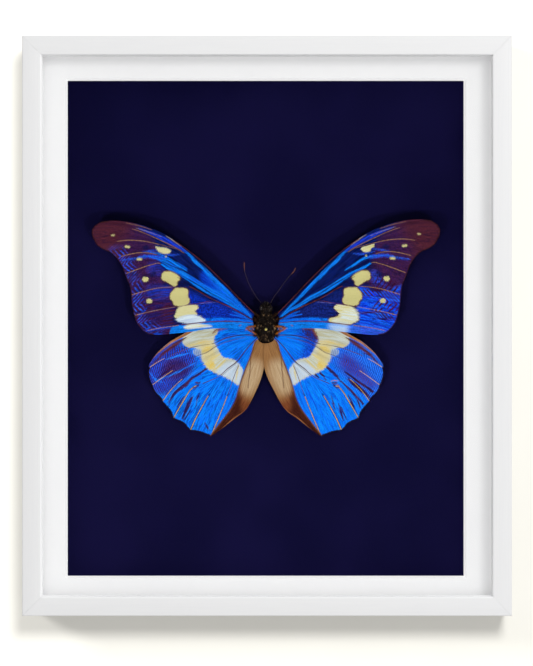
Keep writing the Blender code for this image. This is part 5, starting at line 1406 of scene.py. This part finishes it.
def build_stage():
    """A warm white wall that the camera sees but no other ray does, so that light gets to the frame's back,
    and a pale floor below it."""
    half = STAGE_SIZE / 2
    wall_y = FRAME_HIGH.y + WALL_GAP * MM
    around = ((-half, -half), (half, -half), (half, half), (-half, half))
    floor = [(x, y, FLOOR_HEIGHT) for x, y in around]
    wall = [(x, wall_y, max(z, FLOOR_HEIGHT)) for x, z in around]
    stage = (("wall", wall, WALL_WHITE, 0.0), ("floor", floor, FLOOR_WHITE, FLOOR_GLOW))
    made = {}
    for name, corners, colour, glow in stage:
        mesh = bpy.data.meshes.new(name)
        mesh.from_pydata(corners, [], [(0, 1, 2, 3)])
        mesh.materials.append(stage_white(f"{name}_white", colour, glow))
        obj = bpy.data.objects.new(name, mesh)
        bpy.context.scene.collection.objects.link(obj)
        made[name] = obj
    for rays in ("visible_diffuse", "visible_glossy", "visible_transmission", "visible_shadow"):
        setattr(made["wall"], rays, False)
    return made


def build_lights(wall, specimen):
    """Lights for the frame, for its shadow on the wall, for the rails' inner sides, and for the specimen."""
    meshes = [obj for obj in bpy.context.scene.objects if obj.type == "MESH"]
    board, mat = NODES["mount_board"], NODES["mat"]
    rails = {obj.name: obj for obj in meshes if obj.name.startswith("rail_")}
    rest = [obj for obj in meshes if obj not in (wall, board, mat, *specimen)]
    area_light("key", *KEY, rest)
    area_light("wall_key", *WALL_KEY, [wall])
    area_light("wall_fill", *WALL_FILL, [wall])
    area_light("left_rim", *LEFT_RIM, [rails["rail_left"]])
    area_light("bottom_rim", *BOTTOM_RIM, [rails["rail_bottom"]])
    area_light("mat_key", *MAT_KEY, [mat])
    area_light("mat_fill", *MAT_FILL, [mat], [mat])
    for side, sign in SIDES.items():
        across, up, size, level = SPECIMEN_LIGHT
        area_light(f"specimen_{side}", sign * across, up, size, level, specimen, specimen)
        across, up, size, level = BOARD_LIGHT
        area_light(f"board_{side}", sign * across, up, size, level, [board], specimen)


def main():
    bpy.context.scene.view_settings.view_transform = "Standard"
    build_camera()
    build_world()
    made = build_stage()
    build_rails(lacquer())
    known = set(bpy.context.scene.objects)
    build_wings()
    build_body(insect_skin(), insect_eye())
    build_fur(insect_hair("body_hair_finish", srgb(92, 68, 48), srgb(236, 196, 142)))
    build_root_tufts(insect_hair("root_hair_finish", srgb(96, 54, 26), srgb(232, 134, 36)))
    build_antennae(antenna_finish())
    build_pin(pin_brass())
    specimen = [obj for obj in bpy.context.scene.objects if obj not in known]
    finishes = {
        picture_glass(): ["glass"], mat_card(): ["mat"], hardboard(): ["back_panel"],
        navy_paper(): ["mount_board", *[n for n in NODES if n.startswith("spacer")]],
        zinc_steel(): ["hanger", *[n for n in NODES if n.startswith(("rivet", "tab"))]],
    }
    for material, names in finishes.items():
        for name in names:
            NODES[name].material_slots[0].material = material
    build_lights(made["wall"], specimen)


main()
